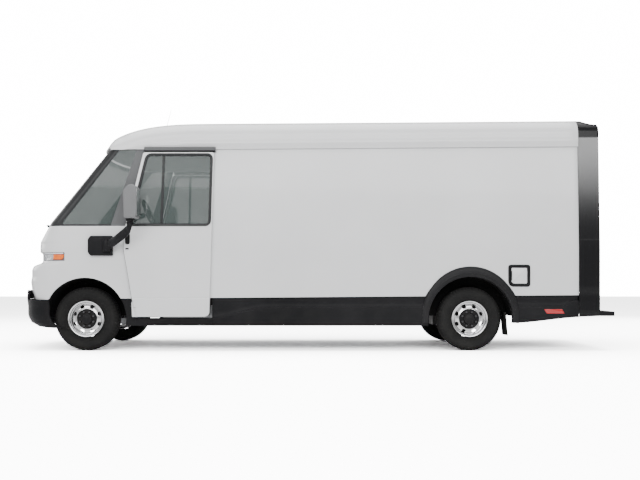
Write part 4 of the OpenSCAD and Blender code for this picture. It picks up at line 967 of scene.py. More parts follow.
def roof_half(x):
    """One half section at station x, from the middle to the flange, as (columns, 3)."""
    top, foot = roof_top(x), EDGE_Z + max(0.0, rise(x))
    r = max(6.0, min(170.0, top - CROWN - foot - 2))
    fade = np.clip((X_LEVEL - x) / (X_LEVEL - screen_top_x), 0, 1) ** 2
    y_top = (roof_w - r) * np.linspace(0, 1, 12)
    turn = np.radians(np.linspace(0, 90, 14)[1:])
    y_turn, z_turn = roof_w - r + r * np.sin(turn), top - CROWN - r + r * np.cos(turn)
    fall = np.array([0.03, 0.38, 0.41, 0.60, 0.63, 1.0])
    z_fall = z_turn[-1] + (foot - z_turn[-1]) * fall
    rail = np.array([0, 0, 3.0, 3.0, 0, 0]) * min(1.0, (z_turn[-1] - foot) / 120)
    y = np.concatenate([y_top, y_turn, roof_w + rail])
    z = np.concatenate([top - CROWN * (y_top / roof_w) ** 2, z_turn, z_fall])
    return np.stack([x + 230 * (y / roof_w) ** 2 * fade, y, z], -1)


stations = np.concatenate([X_LEVEL + 30 - cap_length * np.linspace(1, 0, 40) ** 1.4,
                           np.linspace(X_LEVEL + 30, X_CAP, 30)[1:]])
halves = np.stack([roof_half(x) for x in stations])
roof_grid = np.concatenate([halves[:, :0:-1] * (1, -1, 1), halves], axis=1)
surface("roof_shell", roof_grid, paint, thick=20, bevel=2, stands_for=("roof_panel",), slot="body_paint")
print("roof made, top at", round(float(roof_grid[..., 2].max())))

# %% [markdown]
# ## Side panels
#
# Each side is one tall composite sheet. Its foot follows the cladding and rises over the rear
# arch. The columns are spaced so that the arch is smooth. On the left side a square is left
# open for the charging port, and its frame covers the cut edge.

# %% Side panels
PORT_X, PORT_Z, PORT_HALF = X_RA + 588, 911.0, 115.0


def make_side(side, s):
    """Body side as a grid: the foot and three bands of rows, so that the port's edges are rows."""
    arch_r = ARCH_R + FLARE - 20
    near = X_RA + (arch_r - 20) * np.cos(np.linspace(np.pi, 0, 80))
    x0 = line_x(DOOR_REAR, 417.0) - 30
    x = np.concatenate([np.linspace(x0, near[0] - 20, 30), near,
                        [PORT_X - PORT_HALF, PORT_X, PORT_X + PORT_HALF],
                        np.linspace(near[-1] + 40, X_CAP - 1, 12)])
    x = np.unique(x)
    foot = np.maximum(clad_z(x), WHEEL_Z + np.sqrt(np.maximum(0, arch_r ** 2 - (x - X_RA) ** 2)))
    low = np.maximum(PORT_Z - PORT_HALF, foot + 8)
    high = np.maximum(PORT_Z + PORT_HALF, low + 60)
    top = EDGE_Z + np.maximum(0, rise(x))
    bands = [foot + (low - foot) * t for t in np.linspace(0, 1, 4)[:-1]]
    bands += [low + (high - low) * t for t in np.linspace(0, 1, 5)[:-1]]
    bands += [high + (top - high) * t for t in np.linspace(0, 1, 30)]
    z = np.stack(bands)
    z_open = (line_x(DOOR_REAR, z) - 30 - x0) * np.clip((X_CAP - x) / (X_CAP - x0), 0, 1)
    points = np.stack([x + z_open, side_y(z) * s, z], -1)
    skip = np.zeros((len(z) - 1, len(x) - 1), bool)
    if s < 0:
        in_port = (x[:-1] >= PORT_X - PORT_HALF - 0.1) & (x[1:] <= PORT_X + PORT_HALF + 0.1)
        skip[3:7, :] = in_port
    node = "side_panel_" + side
    return surface("side_sheet_" + side, points, paint, skip=skip, flip=s > 0, thick=24, bevel=3,
                   stands_for=(node,), slot="body_paint")


for side, s in (("left", -1), ("right", 1)):
    make_side(side, s)
print("side panels made")

# %% [markdown]
# ## Bumper
#
# The bumper is one thick black moulding that wraps the front below the nose. It could be modelled
# as a box with bent ends. Here a vertical profile follows the nose's own curve, so the gap
# between the two stays even round the corner.

# %% Bumper
BUMPER = np.array([(277, 230), (289, 143), (339, 56), (389, 26), (438, 13), (538, 13), (618, 2)], float)
LIP = np.array([(621, 2), (662, 0), (737, 7)], float)


def bumper_grid(rows, k):
    """Points of the bumper: the nose's plan curve at one height, moved to each row's own depth."""
    plan = wrap(837.0, k)
    x = plan[None, :, 0] + (X_FRONT + rows[:, 1] - nose_x(837.0))[:, None]
    y = np.broadcast_to(plan[:, 1] * (HALF_W - 4) / HALF_W, x.shape)
    return np.stack([x, y, np.broadcast_to(rows[:, :1], x.shape)], -1)


bumper_z = np.concatenate([np.linspace(277, 345, 12), np.linspace(355, 618, 22)])
bumper_rows = np.stack([bumper_z, np.interp(bumper_z, BUMPER[:, 0], BUMPER[:, 1])], -1)
bumper_k = np.concatenate([np.linspace(-TURN, -FLAT, 24), np.linspace(-FLAT, FLAT, 50)[1:-1],
                           np.linspace(FLAT, TURN, 24)])
surface("bumper_shell", bumper_grid(bumper_rows, bumper_k), black_plastic, flip=True, thick=26, bevel=4,
        stands_for=("front_bumper",), slot="black_plastic")
lip_z = np.linspace(621, 737, 12)
lip_rows = np.stack([lip_z, np.interp(lip_z, LIP[:, 0], LIP[:, 1])], -1)
surface("bumper_lip", bumper_grid(lip_rows, np.linspace(-FLAT, FLAT, 60)), black_plastic, flip=True,
        thick=24, bevel=5, slot="black_plastic")
print("bumper made")

# %% [markdown]
# ## Cab doors
#
# A cab door is a tall panel that stands outside the body and slides to the rear. Its face follows
# the side of the body, with a crease low down and a window with rounded corners. One grid makes
# the face: the rows are heights, and two of the column lines follow the window's edges.

# %% Cab doors
DOOR_Z0, DOOR_Z1, DOOR_OUT = 417.0, 2404.0, 42.0
WIN_Z0, WIN_Z1, WIN_R = 1512.0, 2387.0, 62.0
WINDOW_FRONT = np.array([(1512, 520), (1526, 521), (1910, 629), (2387, 742)], float)
HANDLE_Z, LOCK_Z = 1357.0, 1235.0


def corner_cut(z, low, high, r_low, r_high):
    """How far a rounded corner takes an edge back at height z, near its low and its high end."""
    down = np.clip(r_low - (z - low), 0, r_low)
    up = np.clip(r_high - (high - z), 0, r_high)
    return r_low - np.sqrt(r_low ** 2 - down ** 2) + r_high - np.sqrt(r_high ** 2 - up ** 2)


def window_edges(z):
    """X of the window's front and rear edge, with its four corners rounded."""
    cut = corner_cut(np.clip(z, WIN_Z0, WIN_Z1), WIN_Z0, WIN_Z1, WIN_R, WIN_R)
    level = np.clip(z, WIN_Z0, WIN_Z1)
    return line_x(WINDOW_FRONT, level) + cut, line_x(DOOR_REAR, level) - 14 - cut


def door_y(z, inset=0.0):
    """Outer face of the door: the side of the body plus its stand-off, with the crease pressed in."""
    crease = 5.0 * np.exp(-((z - 643) / 7.0) ** 2)
    return side_y(z) + DOOR_OUT - inset - crease


def window_ring(inset, n=26):
    """Closed outline of the window, moved inward by inset, as (x, z)."""
    t = (1 - np.cos(np.linspace(0, np.pi, n))) / 2
    z = WIN_Z0 + (WIN_Z1 - WIN_Z0) * t
    front, rear = window_edges(z)
    ring = np.concatenate([np.stack([rear, z], -1), np.stack([front, z], -1)[::-1]])
    along = np.roll(ring, -1, 0) - np.roll(ring, 1, 0)
    along /= np.linalg.norm(along, axis=1)[:, None]
    return ring + np.stack([-along[:, 1], along[:, 0]], -1) * inset


def on_door(flat, s, inset):
    """Lays points of (x, z) on the door's face, at a depth below it."""
    return np.stack([flat[..., 0], s * (side_y(flat[..., 1]) + DOOR_OUT - inset), flat[..., 1]], -1)


def make_door(side, s):
    """Door panel, window seal, glass, divider bar, strips of painted gap shade, handle and lock of one cab
    door.
    """
    body, node = "cab_door_" + side, "cab_door_" + side
    arc = (1 - np.cos(np.linspace(0, np.pi / 2, 9))) * WIN_R
    z = np.unique(np.round(np.concatenate([np.linspace(DOOR_Z0, 480, 9), np.linspace(480, 620, 6),
                                           np.linspace(622, 664, 13), np.linspace(670, WIN_Z0, 16),
                                           WIN_Z0 + arc, np.linspace(WIN_Z0 + WIN_R, WIN_Z1 - WIN_R, 26),
                                           WIN_Z1 - arc, np.linspace(WIN_Z1, DOOR_Z1, 3)]), 3))
    left = line_x(DOOR_FRONT, z) + corner_cut(z, DOOR_Z0, DOOR_Z1, 30, 20)
    right = line_x(DOOR_REAR, z) - corner_cut(z, DOOR_Z0, DOOR_Z1, 62, 20)
    front, rear = window_edges(z)
    t, u = np.linspace(0, 1, 8), np.linspace(0, 1, 12)
    x = np.concatenate([left[:, None] + (front - left)[:, None] * t,
                        front[:, None] + (rear - front)[:, None] * u[1:-1],
                        rear[:, None] + (right - rear)[:, None] * t], axis=1)
    skip = np.zeros((len(z) - 1, x.shape[1] - 1), bool)
    skip[(z[:-1] >= WIN_Z0 - 0.1) & (z[1:] <= WIN_Z1 + 0.1), 7:18] = True
    y = np.broadcast_to(door_y(z)[:, None] * s, x.shape)
    surface("door_panel_" + side, np.stack([x, y, np.broadcast_to(z[:, None], x.shape)], -1), paint,
            skip=skip, flip=s > 0, thick=34, bevel=5, body=body, stands_for=(node,), slot="body_paint",
            even=False)
    rings = np.stack([on_door(window_ring(-2.0), s, 6.0), on_door(window_ring(-2.0), s, -1.5),
                      on_door(window_ring(20.0), s, 0.5), on_door(window_ring(26.0), s, 8.0)])
    faces = grid_faces(len(rings), rings.shape[1], closed_cols=True)
    piece("door_seal_" + side, rings, faces, black_border, body=body, flip=s < 0, thick=3,
          slot="black_plastic")
    level = np.linspace(WIN_Z0, WIN_Z1, 60)
    w0, w1 = window_edges(level)
    pane = np.stack([w0[:, None] + (w1 - w0)[:, None] * u, np.broadcast_to(level[:, None], (60, 12))], -1)
    surface("door_window_" + side, on_door(pane, s, 12.0), window_glass, flip=s > 0, thick=5, body=body,
            stands_for=("door_glass_" + side,), slot="window")
    bar_z = np.linspace(WIN_Z0 + 4, WIN_Z1 - 4, 12)
    bar_x = X_FA + 930 + (bar_z - WIN_Z0) * 0.027
    bar = np.stack([bar_x[:, None] + np.array([-15.0, 0, 15.0]),
                    np.broadcast_to(bar_z[:, None], (12, 3))], -1)
    surface("window_bar_" + side, on_door(bar, s, 8.0), black_border, flip=s > 0, thick=16, bevel=2,
            body=body, slot="black_plastic")
    # A black strip behind the door's front edge paints the shade of the gap there.
    edge_z = np.linspace(DOOR_Z0 + 30, DOOR_Z1 - 20, 40)
    edge_x = line_x(DOOR_FRONT, edge_z)
    strip = np.stack([edge_x[:, None] + np.array([-7.0, 12.0]),
                      np.broadcast_to(edge_z[:, None], (40, 2))], -1)
    surface("door_edge_shade_strip_" + side, on_door(strip, s, 14.0), seal_rubber, flip=s > 0, thick=22, bevel=2,
            body=body, slot="black_plastic")
    # A black strip along the door's foot paints the shade of the gap there.
    foot = np.stack([np.linspace(X_FA + 660, X_FA + 1440, 6)[None] + np.zeros((2, 1)),
                     np.array([[DOOR_Z0 - 7.0], [DOOR_Z0 + 6.0]]) + np.zeros((1, 6))], -1)
    surface("door_foot_shade_strip_" + side, on_door(foot, s, 12.0), seal_rubber, flip=s > 0, thick=20, bevel=2,
            body=body, slot="black_plastic")
    low, high = sorted((s * (door_y(HANDLE_Z) - 3), s * (door_y(HANDLE_Z) + 9)))
    hx = X_FA + 496
    cup = rounded_outline(box_outline(hx, 1287, hx + 58, 1426), 28)
    prism("handle_bezel_" + side, cup, low, high, "y", black_plastic, bevel=3, body=body,
          slot="black_plastic")
    grip = rounded_outline(box_outline(hx + 12, 1300, hx + 44, 1413), 15)
    low, high = sorted((s * (door_y(HANDLE_Z) + 9.3), s * (door_y(HANDLE_Z) + 19)))
    prism("handle_grip_" + side, grip, low, high, "y", seal_rubber, bevel=4, body="door_handle_" + side,
          stands_for=("door_handle_" + side,), slot="black_plastic")
    low, high = sorted((s * (door_y(LOCK_Z) - 3), s * (door_y(LOCK_Z) + 4)))
    lock = rounded_outline(box_outline(hx + 4, LOCK_Z - 8, hx + 46, LOCK_Z + 8), 7)
    prism("door_lock_" + side, lock, low, high, "y", black_plastic, bevel=2, body=body,
          slot="black_plastic")


for side, s in (("left", -1), ("right", 1)):
    make_door(side, s)
print("cab doors made")

# %% [markdown]
# ## Skirts, arch flare and liners
#
# Grained black mouldings protect the lower side. A ledge starts low behind the door and sweeps
# up to a straight shelf, and above it the skirt steps in below the painted side. A broad flare
# with a ridge rings the rear arch. The ledge is a curve in the grid, so its edge is smooth.

# %% Skirts and flares
SILL_Z, LEDGE_Z, STEP_IN = 306.0, 532.0, 25.0


def arch_edge(z, r):
    """Half width of an arch of radius r at height z: sqrt(r^2 - (z - wheel height)^2)."""
    return np.sqrt(np.maximum(0, r ** 2 - (z - WHEEL_Z) ** 2))


def ease(x, x0, x1):
    """Smooth step from 0 to 1 between x0 and x1."""
    t = np.clip((x - x0) / (x1 - x0), 0, 1)
    return t * t * (3 - 2 * t)


def skirt(name, x_low, x_high, bottom, ledge, top, s, **more):
    """Grid between two edge lines; rows are the flat below the ledge, its round edge and the band above."""
    t = np.linspace(0, 1, 70)[None, :]
    under, over = np.linspace(0, 1, 9)[:, None], np.linspace(0, 1, 6)[1:, None]
    turn = np.radians(np.linspace(0, 90, 8))[1:, None]
    x = np.broadcast_to(x_low(450.0) + (x_high(450.0) - x_low(450.0)) * t, (1, 70))
    for _ in range(3):
        b, l, h = bottom(x), ledge(x), top(x)
        r = np.minimum(14.0, (h - l) * 0.3)
        if x.shape[0] == 1:
            b, l, h, r = (np.broadcast_to(v, x.shape) for v in (b, l, h, r))
        z = np.concatenate([b[:1] + (l[:1] - r[:1] - b[:1]) * under, l[:1] - r[:1] + r[:1] * np.sin(turn),
                            l[:1] + 1 + (h[:1] - l[:1] - 1) * over])
        x = x_low(z) + (x_high(z) - x_low(z)) * t
    ry = np.broadcast_to(r[:1], (len(turn), 70))
    depth = np.concatenate([np.zeros((9, 70)), (1 - np.cos(turn)) * ry, np.full((5, 70), STEP_IN)])
    depth[16] = STEP_IN
    points = np.stack([x, s * (HALF_W - depth), z], -1)
    return surface(name, points, black_plastic, flip=s > 0, thick=10, bevel=2, slot="black_plastic", **more)


def make_skirts(side, s):
    """Front corner, sill, rear skirt, flare, arch liners and mud flap of one side."""
    z = np.linspace(SILL_Z, 640, 30)[:, None]
    t = np.linspace(0, 1, 10)[None]
    x_arch = X_FA + arch_edge(z, ARCH_F + 1)
    x_door = line_x(DOOR_FRONT, np.maximum(z, 417)) - 9
    front = np.stack([x_arch + (x_door - x_arch) * t, np.full((30, 10), s * HALF_W), z + 0 * t], -1)
    stands = ("claddings",) if s < 0 else ()
    surface("skirt_front_" + side, front, black_plastic, flip=s > 0, thick=12, bevel=3, stands_for=stands,
            slot="black_plastic")
    z = np.linspace(SILL_Z, 404, 10)[:, None]
    x0, x1 = line_x(DOOR_FRONT, 417.0) - 20, line_x(DOOR_REAR, 417.0) + 30
    t = np.linspace(0, 1, 30)[None]
    sill = np.stack([x0 + (x1 - x0) * t + 0 * z, s * (HALF_W - 1 - 4 * ease(z, 395, 404)) + 0 * t,
                     z + 0 * t], -1)
    surface("skirt_sill_" + side, sill, black_plastic, flip=s > 0, thick=12, bevel=3, slot="black_plastic")
    xs, xe = X_FA + 1522, X_FA + 2197
    skirt("skirt_middle_" + side, lambda z: x1 + 0 * z, lambda z: X_RA - arch_edge(z, ARCH_R + 3),
          lambda x: SILL_Z + 0 * x, lambda x: 404 + (LEDGE_Z - 404) * ease(x, xs, xe) + 100 * ease(x,
        X_RA - 640, X_RA - 480) ** 2, lambda x: clad_z(x) - 2, s)
    e0, e1 = X_BACK - 436, X_BACK - 300
    skirt("skirt_rear_" + side, lambda z: X_RA + arch_edge(z, ARCH_R + 3), lambda z: X_CAP - 2 + 0 * z,
          lambda x: 338 + 76 * ease(x, X_RA + 480, X_BACK - 150),
          lambda x: LEDGE_Z + 13 + 70 * ease(x, e0, e1) + 90 * ease(-x, -X_RA - 640, -X_RA - 490) ** 2,
          lambda x: clad_z(x) - 2, s)
    turn = np.linspace(math.asin((338 - WHEEL_Z) / 560), math.pi - math.asin((338 - WHEEL_Z) / 560), 120)
    spread = 1 - 0.075 * (1 - np.abs(np.sin(turn))[:, None] ** 1.5)
    cut = np.array([(512, -58), (512, 14), (516, 20), (546, 21), (551, 24.5), (558, 24.5), (563, 20),
                    (600, 15), (626, 8), (632, 2), (632, -6)], float)
    r, out = 512 + (cut[:, 0][None] - 512) * (1 - (1 - spread) * 6), cut[:, 1][None]
    out = np.where(out > 0, out * np.clip((np.sin(turn)[:, None] + 0.1) / 0.5, 0.25, 1), out)
    notch = 2.5 * (np.abs(((turn * 4 / np.pi) % 1) - 0.5) > 0.488)[:, None] * (out > 5)
    flare = np.stack([X_RA + r * np.cos(turn)[:, None], s * (HALF_W + out - notch),
                      WHEEL_Z + r * np.sin(turn)[:, None]], -1)
    surface("arch_flare_" + side, flare, flare_plastic, flip=s < 0, thick=4, slot="black_plastic")
    for end, x, radius, y_in in (("front", X_FA, ARCH_F + 3, 540.0), ("rear", X_RA, ARCH_R + 3, 700.0)):
        turn = np.linspace(0.07, math.pi - 0.07, 60)[:, None]
        y = np.linspace(y_in, HALF_W - (20 if end == "front" else 60), 12)[None]
        bowl = np.stack([x + radius * np.cos(turn) + 0 * y, s * y + 0 * turn,
                         WHEEL_Z + radius * np.sin(turn) + 0 * y], -1)
        surface("arch_liner_" + end + "_" + side, bowl, liner_felt, flip=s > 0, thick=-5,
                slot="black_plastic")
        r = np.linspace(200, radius, 8)[None]
        wall = np.stack([x + r * np.cos(turn), s * y_in + 0 * (r + turn), WHEEL_Z + r * np.sin(turn)], -1)
        surface("arch_wall_" + end + "_" + side, wall, liner_felt, flip=s < 0, thick=-5,
                slot="black_plastic")
    flap = rounded_outline([(X_RA + 446, 186), (X_RA + 462, 186), (X_RA + 438, 470), (X_RA + 420, 470)], 5)
    low, high = sorted((s * (WHEEL_Y - TYRE_W / 2), s * (WHEEL_Y + TYRE_W / 2)))
    prism("mud_flap_" + side, flap, low, high, "y", seal_rubber, bevel=2, slot="black_plastic")


flare_plastic = moulded("flare_plastic", (0.012, 0.012, 0.013, 1.0), 0.36, 650.0, 0.0006, 0.02)
liner_felt = moulded("liner_felt", (0.006, 0.006, 0.006, 1.0), 0.9, 260.0, 0.0012, 0.0)
for side, s in (("left", -1), ("right", 1)):
    make_skirts(side, s)
print("skirts made")

# %% [markdown]
# ## Rear portal
#
# The rear of the body is a dark glossy frame with a sloped top edge. Its section is the body's
# own outline, drawn forward to the white panels. The heights are cut by the slope, and two
# shallow seams run round it. Its colour turns lighter towards the top, which stands in for the
# reflection of a bright ceiling in the gloss.

# %% Rear portal
PORTAL_TOP, PORTAL_R = ROOF_Z + CROWN + rise(X_CAP), 170.0
OPEN_Y, OPEN_Z0, OPEN_Z1 = 820.0, 700.0, 2440.0


def portal_half(inset):
    """Half outline of the portal from foot to crown, with the two seams pressed in."""
    low = np.array([398, 500, 600, 704, 706, 710, 712, 800, 1000, 1250, 1345, 1349, 1351, 1355, 1357,
                    1361, 1500, 1900, 2250, 2480], float)
    top_z = PORTAL_TOP - PORTAL_R
    w = side_y(top_z)
    low = low[low < top_z - 20]
    seam = 3.0 * ((np.abs(low - 708) < 3) | (np.abs(low - 1353) < 3))
    turn = np.radians(np.linspace(0, 90, 14))
    y = np.concatenate([side_y(low) - seam, w - PORTAL_R + PORTAL_R * np.cos(turn),
                        np.linspace(w - PORTAL_R, 0, 8)[1:]])
    z = np.concatenate([low, top_z + PORTAL_R * np.sin(turn), np.full(7, PORTAL_TOP)])
    return y - inset, z - inset * (z > top_z)


half_y, half_z = portal_half(0.0)
ring_y = np.concatenate([-half_y, half_y[-2::-1]])
ring_z = np.concatenate([half_z, half_z[-2::-1]])
stops = np.array([(X_CAP + 0.5, 30.0), (X_CAP + 60, -10.0), (X_BACK - 12, -64.0), (X_BACK - 4, -90),
                  (X_BACK, -187)])
foot_rise = np.interp(stops[:, 0], [X_CAP, X_BACK], [414, 425])
shell = np.stack([np.broadcast_to(stops[:, :1], (5, len(ring_y))),
                  np.broadcast_to(ring_y, (5, len(ring_y))),
                  np.clip(ring_z[None], foot_rise[:, None], (PORTAL_TOP + stops[:, 1])[:, None])], -1)
surface("portal_shell", shell, portal_paint, thick=10, bevel=2, stands_for=("rear_frame",),
        slot="portal_paint")
middle = np.array([0.0, 1500.0])
outer = shell[-1][:, 1:]
away = outer - middle
reach = np.minimum(OPEN_Y / np.maximum(1e-6, np.abs(away[:, 0])),
                   np.where(away[:, 1] > 0, OPEN_Z1 - 1500, 1500 - OPEN_Z0) / np.maximum(1e-6,
    np.abs(away[:, 1])))
inner = middle + away * np.minimum(reach, 1.0)[:, None]
back = np.stack([outer + (inner - outer) * t for t in (0, 0.5, 1.0)])
back = np.concatenate([np.full(back.shape[:2] + (1,), X_BACK - 0.6), back], -1)
surface("portal_back", back, portal_paint, thick=6, slot="portal_paint", even=False)
prism("portal_apron", box_outline(-OPEN_Y - 200, 430, OPEN_Y + 200, OPEN_Z0), X_BACK - 8, X_BACK - 1, "x",
              black_plastic, bevel=1, slot="black_plastic")


def make_rear_door(side, s):
    """Rear door: frame with a pressed field, window, hinge leaves; the right one carries the lever."""
    body = "rear_door_" + side
    y0, y1, z0, z1 = 3.0, 814.0, 706.0, 2434.0
    lines_y = np.array([y0, 60, 70, 200, 654, y1 - 60, y1 - 50, y1])
    lines_z = np.array([z0, z0 + 50, z0 + 60, 1480, 1490, 1600, 2200, z1 - 40, z1])
    field = ((lines_y[None] > 65) & (lines_y[None] < y1 - 55)) & ((lines_z[:,
        None] > z0 + 55) & (lines_z[:, None] < 1485))
    grid = np.stack([X_BACK - 1 - 7.0 * field, np.broadcast_to(lines_y * s, field.shape),
                     np.broadcast_to(lines_z[:, None], field.shape)], -1)
    skip = np.zeros((8, 7), bool)
    skip[5, 3] = True
    surface("rear_leaf_" + side, grid, portal_paint, skip=skip, flip=s < 0, thick=34, bevel=4, body=body,
            stands_for=(body,), slot="portal_paint")
    low, high = sorted((200 * s, 654 * s))
    pane = rounded_outline(box_outline(low, 1600, high, 2200), 30)
    prism("rear_pane_" + side, pane, X_BACK - 20, X_BACK - 14, "x", window_glass, bevel=1, body=body,
          slot="window")
    outline = rounded_outline(box_outline(low - 8, 1592, high + 8, 2208), 36)
    ring = np.concatenate([outline, outline[:1]])
    path = np.stack([np.full(len(ring), X_BACK - 3.0), ring[:, 0], ring[:, 1]], -1)
    tube("rear_pane_seal_" + side, path, 11.0, seal_rubber, sides=8, up=(1, 0, 0), body=body,
         slot="black_plastic")
    for i, z in enumerate((900, 1600, 2300)):
        leaf = rounded_outline(box_outline(min(704 * s, 845 * s), z + 3, max(704 * s, 845 * s), z + 49), 9)
        prism(f"hinge_leaf_{side}_{i}", leaf, X_BACK + 0.3, X_BACK + 8, "x", brushed_steel, bevel=2,
              body=body, slot="bare_steel")
        knuckle = [(9.2, z + 3), (16, z + 3), (16, z + 49), (9.2, z + 49)]
        lathe(f"hinge_knuckle_{side}_{i}", knuckle, (X_BACK + 22, 845 * s, 0), "z", brushed_steel,
              steps=32, body=body, slot="bare_steel")
        fixed = [(9.2, z - 49), (16, z - 49), (16, z - 2), (9.2, z - 2)]
        lathe(f"hinge_seat_{side}_{i}", fixed, (X_BACK + 22, 845 * s, 0), "z", brushed_steel, steps=32,
              slot="bare_steel")
        plate = rounded_outline(box_outline(min(847 * s, 912 * s), z - 48, max(847 * s, 912 * s), z - 3), 9)
        prism(f"hinge_plate_{side}_{i}", plate, X_BACK + 0.3, X_BACK + 8, "x", brushed_steel, bevel=2,
              slot="bare_steel")
    for i, z in enumerate((760, 980, 1200)):
        y = (820 + HALF_W) / 2 + 22
        bowl = [(0.5, 1), (58, 1), (60, 4), (59, 14), (52, 21), (40, 22.5), (38, 21), (20, 22.5), (0.5, 23)]
        lathe(f"tail_lens_{side}_{i}", bowl, (X_BACK, y * s, z), "x", red_lens, steps=64,
              stands_for=("tail_lamps",) if (s < 0 and i == 0) else (), slot="red_lens")


for side, s in (("left", -1), ("right", 1)):
    make_rear_door(side, s)
lever_path = curve_through([(X_BACK + 28, 90, 1180), (X_BACK + 30, 130, 1180), (X_BACK + 28, 245, 1180)],
                           10)
tube("rear_lever", lever_path, 12.0, brushed_steel, sides=20, flat=(0.8, 1.1), body="rear_handle",
     stands_for=("rear_handle",), slot="bare_steel")
boss = [(0.5, 1), (24, 1), (24, 16), (20, 20), (16, 30), (0.5, 31)]
lathe("rear_lever_boss", boss, (X_BACK, 90, 1180), "x", brushed_steel, steps=48, body="rear_handle",
      slot="bare_steel")
print("rear made")

# %% [markdown]
# ## Step, side markers and charging port
#
# The rear step is a thin black tread with grip bars. A red marker sits in each rear skirt. The
# charging port has a chamfered black frame round a white door, so the frame is an outline with
# one cut corner, carried outward and bevelled.

# %% Step, markers and charging port
step_side = rounded_outline(box_outline(X_BACK + 2, 421, box_mm("rear_step")[1][0] - 0.5, 477.5), 10)
prism("step_tread", step_side, -HALF_W + 76, HALF_W - 76, "y", black_plastic, bevel=3,
      stands_for=("rear_step",), slot="black_plastic")
for i, x in enumerate(np.linspace(X_BACK + 30, X_BACK + 180, 6)):
    prism(f"step_grip_{i}", rounded_outline(box_outline(x, -900, x + 9, 900), 4), 477.5, 478.9, "z",
          seal_rubber, bevel=0.6, slot="black_plastic")
for side, s in (("left", -1), ("right", 1)):
    marker = rounded_outline([(X_BACK - 640, 454), (X_BACK - 425, 454), (X_BACK - 455, 507),
                              (X_BACK - 672, 507)], 7)
    low, high = sorted((s * (HALF_W + 0.2), s * (HALF_W + 5)))
    prism("side_marker_" + side, marker, low, high, "y", red_lens, bevel=2, slot="red_lens")
PORT_OUT = 95.0


def port_outline(grow, chamfer, radius):
    """Rounded square with the lower front corner cut."""
    a, c = PORT_OUT + grow, chamfer
    return rounded_outline([(PORT_X - a + c, PORT_Z - a), (PORT_X + a, PORT_Z - a),
                            (PORT_X + a, PORT_Z + a), (PORT_X - a, PORT_Z + a),
                            (PORT_X - a, PORT_Z - a + c)], radius, 8)


frame_rings = []
for grow, out in ((38, -2), (38, 6), (33, 11.5), (8, 11.5), (4, 9), (4, -24)):
    flat = port_outline(grow, 26 + grow * 0.3, 14 + grow * 0.6)
    frame_rings.append(np.stack([flat[:, 0], np.full(len(flat), -(HALF_W + out)), flat[:, 1]], -1))
frame_rings = np.stack(frame_rings)
piece("port_frame", frame_rings, grid_faces(len(frame_rings), frame_rings.shape[1], closed_cols=True),
      black_plastic, flip=True, stands_for=("charge_port",), slot="black_plastic")
prism("port_door", port_outline(-1, 22, 16), -(HALF_W + 4), -(HALF_W - 3), "y", paint, bevel=2,
      body="charge_door", stands_for=("charge_door",), slot="body_paint")
well_rings = []
for grow, out in ((0, -6), (0, -130)):
    flat = port_outline(grow, 22, 16)
    well_rings.append(np.stack([flat[:, 0], np.full(len(flat), -(HALF_W + out)), flat[:, 1]], -1))
well_rings = np.stack(well_rings)
piece("port_well", well_rings, grid_faces(2, well_rings.shape[1], closed_cols=True), black_plastic,
      flip=True, thick=-4, slot="black_plastic")
prism("port_floor", port_outline(4, 22, 16), -(HALF_W - 134), -(HALF_W - 130), "y", black_plastic,
      slot="black_plastic")
socket = np.array([(31, -133), (38, -133), (38, -76), (36, -73), (33, -73), (31, -76)])
socket[:, 1] = -(HALF_W + socket[:, 1])
lathe("port_socket", socket[::-1], (PORT_X, 0, PORT_Z), "y", dash_plastic, steps=64, slot="black_plastic")
for i in range(6):
    a = math.radians(60 * i)
    pin = [(0.3, -(HALF_W - 121)), (4, -(HALF_W - 121)), (4, -(HALF_W - 88)), (2.5, -(HALF_W - 86)),
           (0.3, -(HALF_W - 86))]
    lathe(f"port_pin_{i}", pin, (PORT_X + 18 * math.cos(a), 0, PORT_Z + 18 * math.sin(a)), "y",
          brushed_steel, steps=20, slot="bare_steel")
for i, (z0, z1, body) in enumerate(((-58, -30, "chassis"), (-29, 29, "charge_door"), (30, 58, "chassis"))):
    barrel = [(0.3, z0), (4.9, z0), (4.9, z1), (0.3, z1)]
    lathe(f"port_hinge_{i}", barrel, (PORT_X - 96, -(HALF_W + 17.4), PORT_Z), "z", black_plastic,
          steps=24, body=body, slot="black_plastic")
print("step, markers and port made")

# %% [markdown]
# ## Mirrors
#
# Each mirror has a chamfered base on the wing, a thick arm with an elbow and a tall head with a
# slanted top. The arm is an oval tube along a smooth path, so it can bend without a crease.

